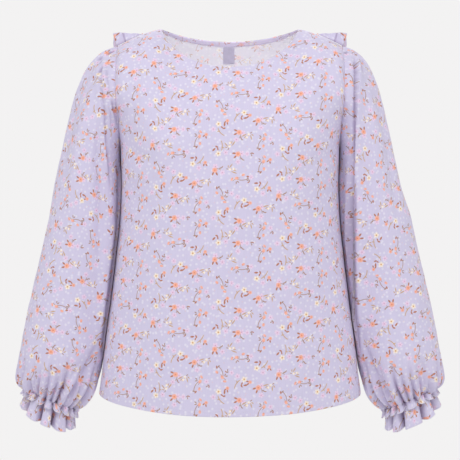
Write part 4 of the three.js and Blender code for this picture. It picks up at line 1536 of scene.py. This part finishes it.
def cloth_shader(material, colour_of, thread, slub, bump, sheen, roughness):
    """Sets up a cloth: its colour, darkened by painted shade from a point attribute, a weave in its bump and
    roughness, and a soft sheen.
    """
    material.use_nodes = True
    tree = material.node_tree
    shader = tree.nodes["Principled BSDF"]
    flat = put(tree, "UVMap", uv_map="Cloth").outputs[0]
    millimetres = put(tree, "VectorMath", {0: flat, "Scale": 1 / MM}, operation="SCALE").outputs[0]
    weave = use_group(tree, weave_group(), {"Vector": millimetres, "Thread": thread, "Slub": slub})
    shade = put(
        tree,
        "HueSaturation",
        {"Value": ramp(tree, weave["Slub"], 0.3, 0.7, 0.975, 1.02), "Color": colour_of(tree, millimetres)},
    )
    # Painted shade, read from the mesh's point attribute
    painted_shade_amount = put(tree, "Attribute", attribute_name="Painted shade").outputs["Fac"]
    painted_shading = use_group(tree, painted_shade_group(), {"Colour": shade.outputs[0], "Painted shade": painted_shade_amount})["Colour"]
    tree.links.new(painted_shading, shader.inputs["Base Color"])
    height = put(tree, "Bump", {"Strength": bump, "Distance": 0.0002, "Height": weave["Height"]}).outputs[0]
    tree.links.new(height, shader.inputs["Normal"])
    rough = ramp(tree, weave["Height"], 0.2, 1.2, roughness - 0.06, roughness + 0.06)
    tree.links.new(rough, shader.inputs["Roughness"])
    shader.inputs["Sheen Weight"].default_value = sheen
    shader.inputs["Sheen Roughness"].default_value = 0.5
    shader.inputs["Specular IOR Level"].default_value = 0.2
    return material


def print_material(name, fade):
    made_before = bpy.data.materials.get(name)
    if made_before:
        return made_before
    colours = bpy.context.scene.blouse_colours

    def colour_of(tree, millimetres):
        own = {colour: getattr(colours, colour) for colour in PRINT_COLOURS}
        inputs = {"Vector": millimetres, "Fade": fade, "Faded": colours.faded, **own}
        return use_group(tree, print_group(), inputs)["Colour"]

    return cloth_shader(bpy.data.materials.new(name), colour_of, 0.4, 0.5, 0.35, 0.15, 0.8)


PAINTED_SHADE_TONE = (0.46, 0.36, 0.46, 1)  # share of its colour that cloth keeps under full painted shade
THROUGH_CLOTH = 0.003  # metres that light goes through cloth on average
PAINTED_GLOW_STRENGTH = 0.3  # strength of the painted glow on the facing and the label, in place of light through the back


def printed_cloth():
    return print_material("Printed cloth", 0.0)


def wrong_side():
    """The back of the cloth, where the print shows through faintly."""
    return let_light_through(print_material("Printed cloth, wrong side", 0.35))


def let_light_through(material):
    """Light from the far side of thin cloth reaches this side."""
    inputs = material.node_tree.nodes["Principled BSDF"].inputs
    inputs["Subsurface Weight"].default_value = 1.0
    inputs["Subsurface Radius"].default_value = (1, 1, 1)
    inputs["Subsurface Scale"].default_value = THROUGH_CLOTH
    return material


def paint_glow_from_behind(material):
    """Painted light: the cloth glows by emission in its own colour, in place of light that comes through the
    cloth it lies against.
    """
    shader = material.node_tree.nodes["Principled BSDF"]
    colour = shader.inputs["Base Color"].links[0].from_socket
    material.node_tree.links.new(colour, shader.inputs["Emission Color"])
    shader.inputs["Emission Strength"].default_value = PAINTED_GLOW_STRENGTH
    return material


def plain_cloth(name, colour, thread_size):

    def colour_of(tree, millimetres):
        cloud = put(tree, "TexNoise", {"Vector": millimetres, "Scale": 0.12, "Detail": 3.0}).outputs["Fac"]
        dark = tuple(0.86 * value for value in colour[:3]) + (1,)
        return blend(tree, ramp(tree, cloud, 0.35, 0.7, 0.0, 0.7), tuple(colour), dark)

    return cloth_shader(bpy.data.materials.new(name), colour_of, thread_size, 0.3, 0.6, 0.1, 0.75)


def thread():
    """Twisted sewing thread: fine noise in its colour and its bump."""
    made_before = bpy.data.materials.get("Sewing thread")
    if made_before:
        return made_before
    material = bpy.data.materials.new("Sewing thread")
    material.use_nodes = True
    tree = material.node_tree
    shader = tree.nodes["Principled BSDF"]
    place = put(tree, "TexCoord").outputs["Object"]
    twist = put(tree, "TexNoise", {"Vector": place, "Scale": 2500.0, "Detail": 2.0}).outputs["Fac"]
    colour = tuple(bpy.context.scene.blouse_colours.thread)
    dark = tuple(0.8 * value for value in colour[:3]) + (1,)
    twisted = blend(tree, ramp(tree, twist, 0.35, 0.65, 0.0, 1.0), dark, colour)
    tree.links.new(twisted, shader.inputs["Base Color"])
    bump = put(tree, "Bump", {"Strength": 0.4, "Distance": 0.0001, "Height": twist}).outputs[0]
    tree.links.new(bump, shader.inputs["Normal"])
    shader.inputs["Roughness"].default_value = 0.55
    shader.inputs["Sheen Weight"].default_value = 0.1
    return material


# Operators and panel.


class BLOUSE_OT_body(bpy.types.Operator):
    """Make the front and back panels with their hem and neck stitches"""

    bl_idname = "blouse.body"
    bl_label = "Body Panels"

    def execute(self, context):
        make_body()
        return {"FINISHED"}


class BLOUSE_OT_sleeves(bpy.types.Operator):
    """Make both sleeves, from their heads to the elastic"""

    bl_idname = "blouse.sleeves"
    bl_label = "Sleeves"

    def execute(self, context):
        for side in ("left", "right"):
            make_sleeve(side)
        return {"FINISHED"}


class BLOUSE_OT_cuffs(bpy.types.Operator):
    """Make the frills and the short headings at both wrists"""

    bl_idname = "blouse.cuffs"
    bl_label = "Cuff Frills"

    def execute(self, context):
        for side in ("left", "right"):
            make_cuff(side, "cuff_frill", CUFF_FRILL)
            make_cuff(side, "cuff_heading", CUFF_HEADING)
        return {"FINISHED"}


class BLOUSE_OT_shoulder_frills(bpy.types.Operator):
    """Make the small frill that stands on each shoulder seam"""

    bl_idname = "blouse.shoulder_frills"
    bl_label = "Shoulder Frills"

    def execute(self, context):
        for side in ("left", "right"):
            make_shoulder_frill(side)
        return {"FINISHED"}


class BLOUSE_OT_neck(bpy.types.Operator):
    """Make the facing inside the back neck and its blank label"""

    bl_idname = "blouse.neck"
    bl_label = "Neck Facing and Label"

    def execute(self, context):
        make_neck()
        return {"FINISHED"}


class BLOUSE_OT_stage(bpy.types.Operator):
    """Make the floor, the soft light and the camera"""

    bl_idname = "blouse.stage"
    bl_label = "Stage"

    def execute(self, context):
        make_stage(context.scene)
        return {"FINISHED"}


CAMERA_DISTANCE = 3.0  # metres in front of the origin
CAMERA_HEIGHT = -0.3251
VIEW_WIDTH = 0.7452  # metres of the plane y = 0 that the frame shows

# Large soft lamps: place, size, share of the key lamp's power
LAMPS = [
    ((-0.1, -2.1, 1.9), 2.2, 1.0),
    ((2.6, -1.4, 0.3), 2.2, 0.26),
    ((-2.6, -1.4, 0.3), 2.2, 0.26),
    ((0.0, 3.0, 1.2), 2.6, 2.1),
]


def make_stage(scene):
    settings = scene.blouse_stage
    corners = [(-3, -3), (3, -3), (3, 3), (-3, 3)]
    points = np.array([(x, y, settings.floor) for x, y in corners])
    floor = mesh_piece("floor", points, np.array([[0, 1, 2, 3]]), np.zeros(1, bool))
    paint = bpy.data.materials.new("Pale floor")
    paint.use_nodes = True
    tree = paint.node_tree
    place = put(tree, "TexCoord").outputs["Object"]
    cloud = put(tree, "TexNoise", {"Vector": place, "Scale": 3.0, "Detail": 4.0}).outputs["Fac"]
    pale = blend(tree, ramp(tree, cloud, 0.3, 0.7), srgb(238, 237, 237), srgb(242, 241, 241))
    shader = tree.nodes["Principled BSDF"]
    tree.links.new(pale, shader.inputs["Base Color"])
    shader.inputs["Roughness"].default_value = 0.9
    floor.data.materials.append(paint)

    world = bpy.data.worlds.new("Studio")
    scene.world = world
    world.use_nodes = True
    tree = world.node_tree
    tree.nodes.clear()
    seen = put(tree, "Background", {"Color": tuple(settings.backdrop), "Strength": 1.0}).outputs[0]
    lit = put(tree, "Background", {"Color": (1, 1, 1, 1), "Strength": settings.fill}).outputs[0]
    camera_ray = put(tree, "LightPath").outputs["Is Camera Ray"]
    both = put(tree, "MixShader", {0: camera_ray, 1: lit, 2: seen}).outputs[0]
    put(tree, "OutputWorld", {"Surface": both})

    middle = Vector((0, 0, -0.32))
    for place, size, share in LAMPS:
        lamp = bpy.data.lights.new("Soft lamp", "AREA")
        lamp.shape = "DISK"
        lamp.size = size
        lamp.energy = settings.key * share
        holder = bpy.data.objects.new("Soft lamp", lamp)
        holder.location = place
        holder.rotation_euler = (middle - Vector(place)).to_track_quat("-Z", "Y").to_euler()
        scene.collection.objects.link(holder)

    camera = bpy.data.cameras.new("Camera")
    camera.sensor_width = 36
    camera.lens = camera.sensor_width * CAMERA_DISTANCE / VIEW_WIDTH
    camera.clip_end = 100
    stand = bpy.data.objects.new("Camera", camera)
    stand.location = (0, -CAMERA_DISTANCE, CAMERA_HEIGHT)
    stand.rotation_euler = (math.pi / 2, 0, 0)
    scene.collection.objects.link(stand)
    scene.camera = stand
    scene.view_settings.view_transform = "Standard"


class BLOUSE_PT_panel(bpy.types.Panel):
    """Lists the pieces of the blouse and its settings"""

    bl_idname = "BLOUSE_PT_panel"
    bl_label = "Printed Blouse"
    bl_space_type = "VIEW_3D"
    bl_region_type = "UI"
    bl_category = "Blouse"

    def draw(self, context):
        for operator in OPERATORS:
            self.layout.operator(operator.bl_idname)
        scene = context.scene
        for settings in (scene.blouse_colours, scene.blouse_sizes, scene.blouse_stage):
            box = self.layout.box()
            for key in settings.bl_rna.properties.keys():
                if key not in {"rna_type", "name"}:
                    box.prop(settings, key)


SETTINGS = {"blouse_colours": BlouseColours, "blouse_sizes": BlouseSizes, "blouse_stage": BlouseStage}
OPERATORS = (
    BLOUSE_OT_body,
    BLOUSE_OT_sleeves,
    BLOUSE_OT_cuffs,
    BLOUSE_OT_shoulder_frills,
    BLOUSE_OT_neck,
    BLOUSE_OT_stage,
)
CLASSES = (*SETTINGS.values(), *OPERATORS, BLOUSE_PT_panel)


def register():
    for cls in CLASSES:
        bpy.utils.register_class(cls)
    for name, settings in SETTINGS.items():
        setattr(bpy.types.Scene, name, PointerProperty(type=settings))


def unregister():
    for name in SETTINGS:
        delattr(bpy.types.Scene, name)
    for cls in reversed(CLASSES):
        bpy.utils.unregister_class(cls)


def main():
    register()
    bpy.ops.blouse.body()
    bpy.ops.blouse.sleeves()
    bpy.ops.blouse.cuffs()
    bpy.ops.blouse.shoulder_frills()
    bpy.ops.blouse.neck()
    bpy.ops.blouse.stage()


if __name__ == "__main__":
    main()
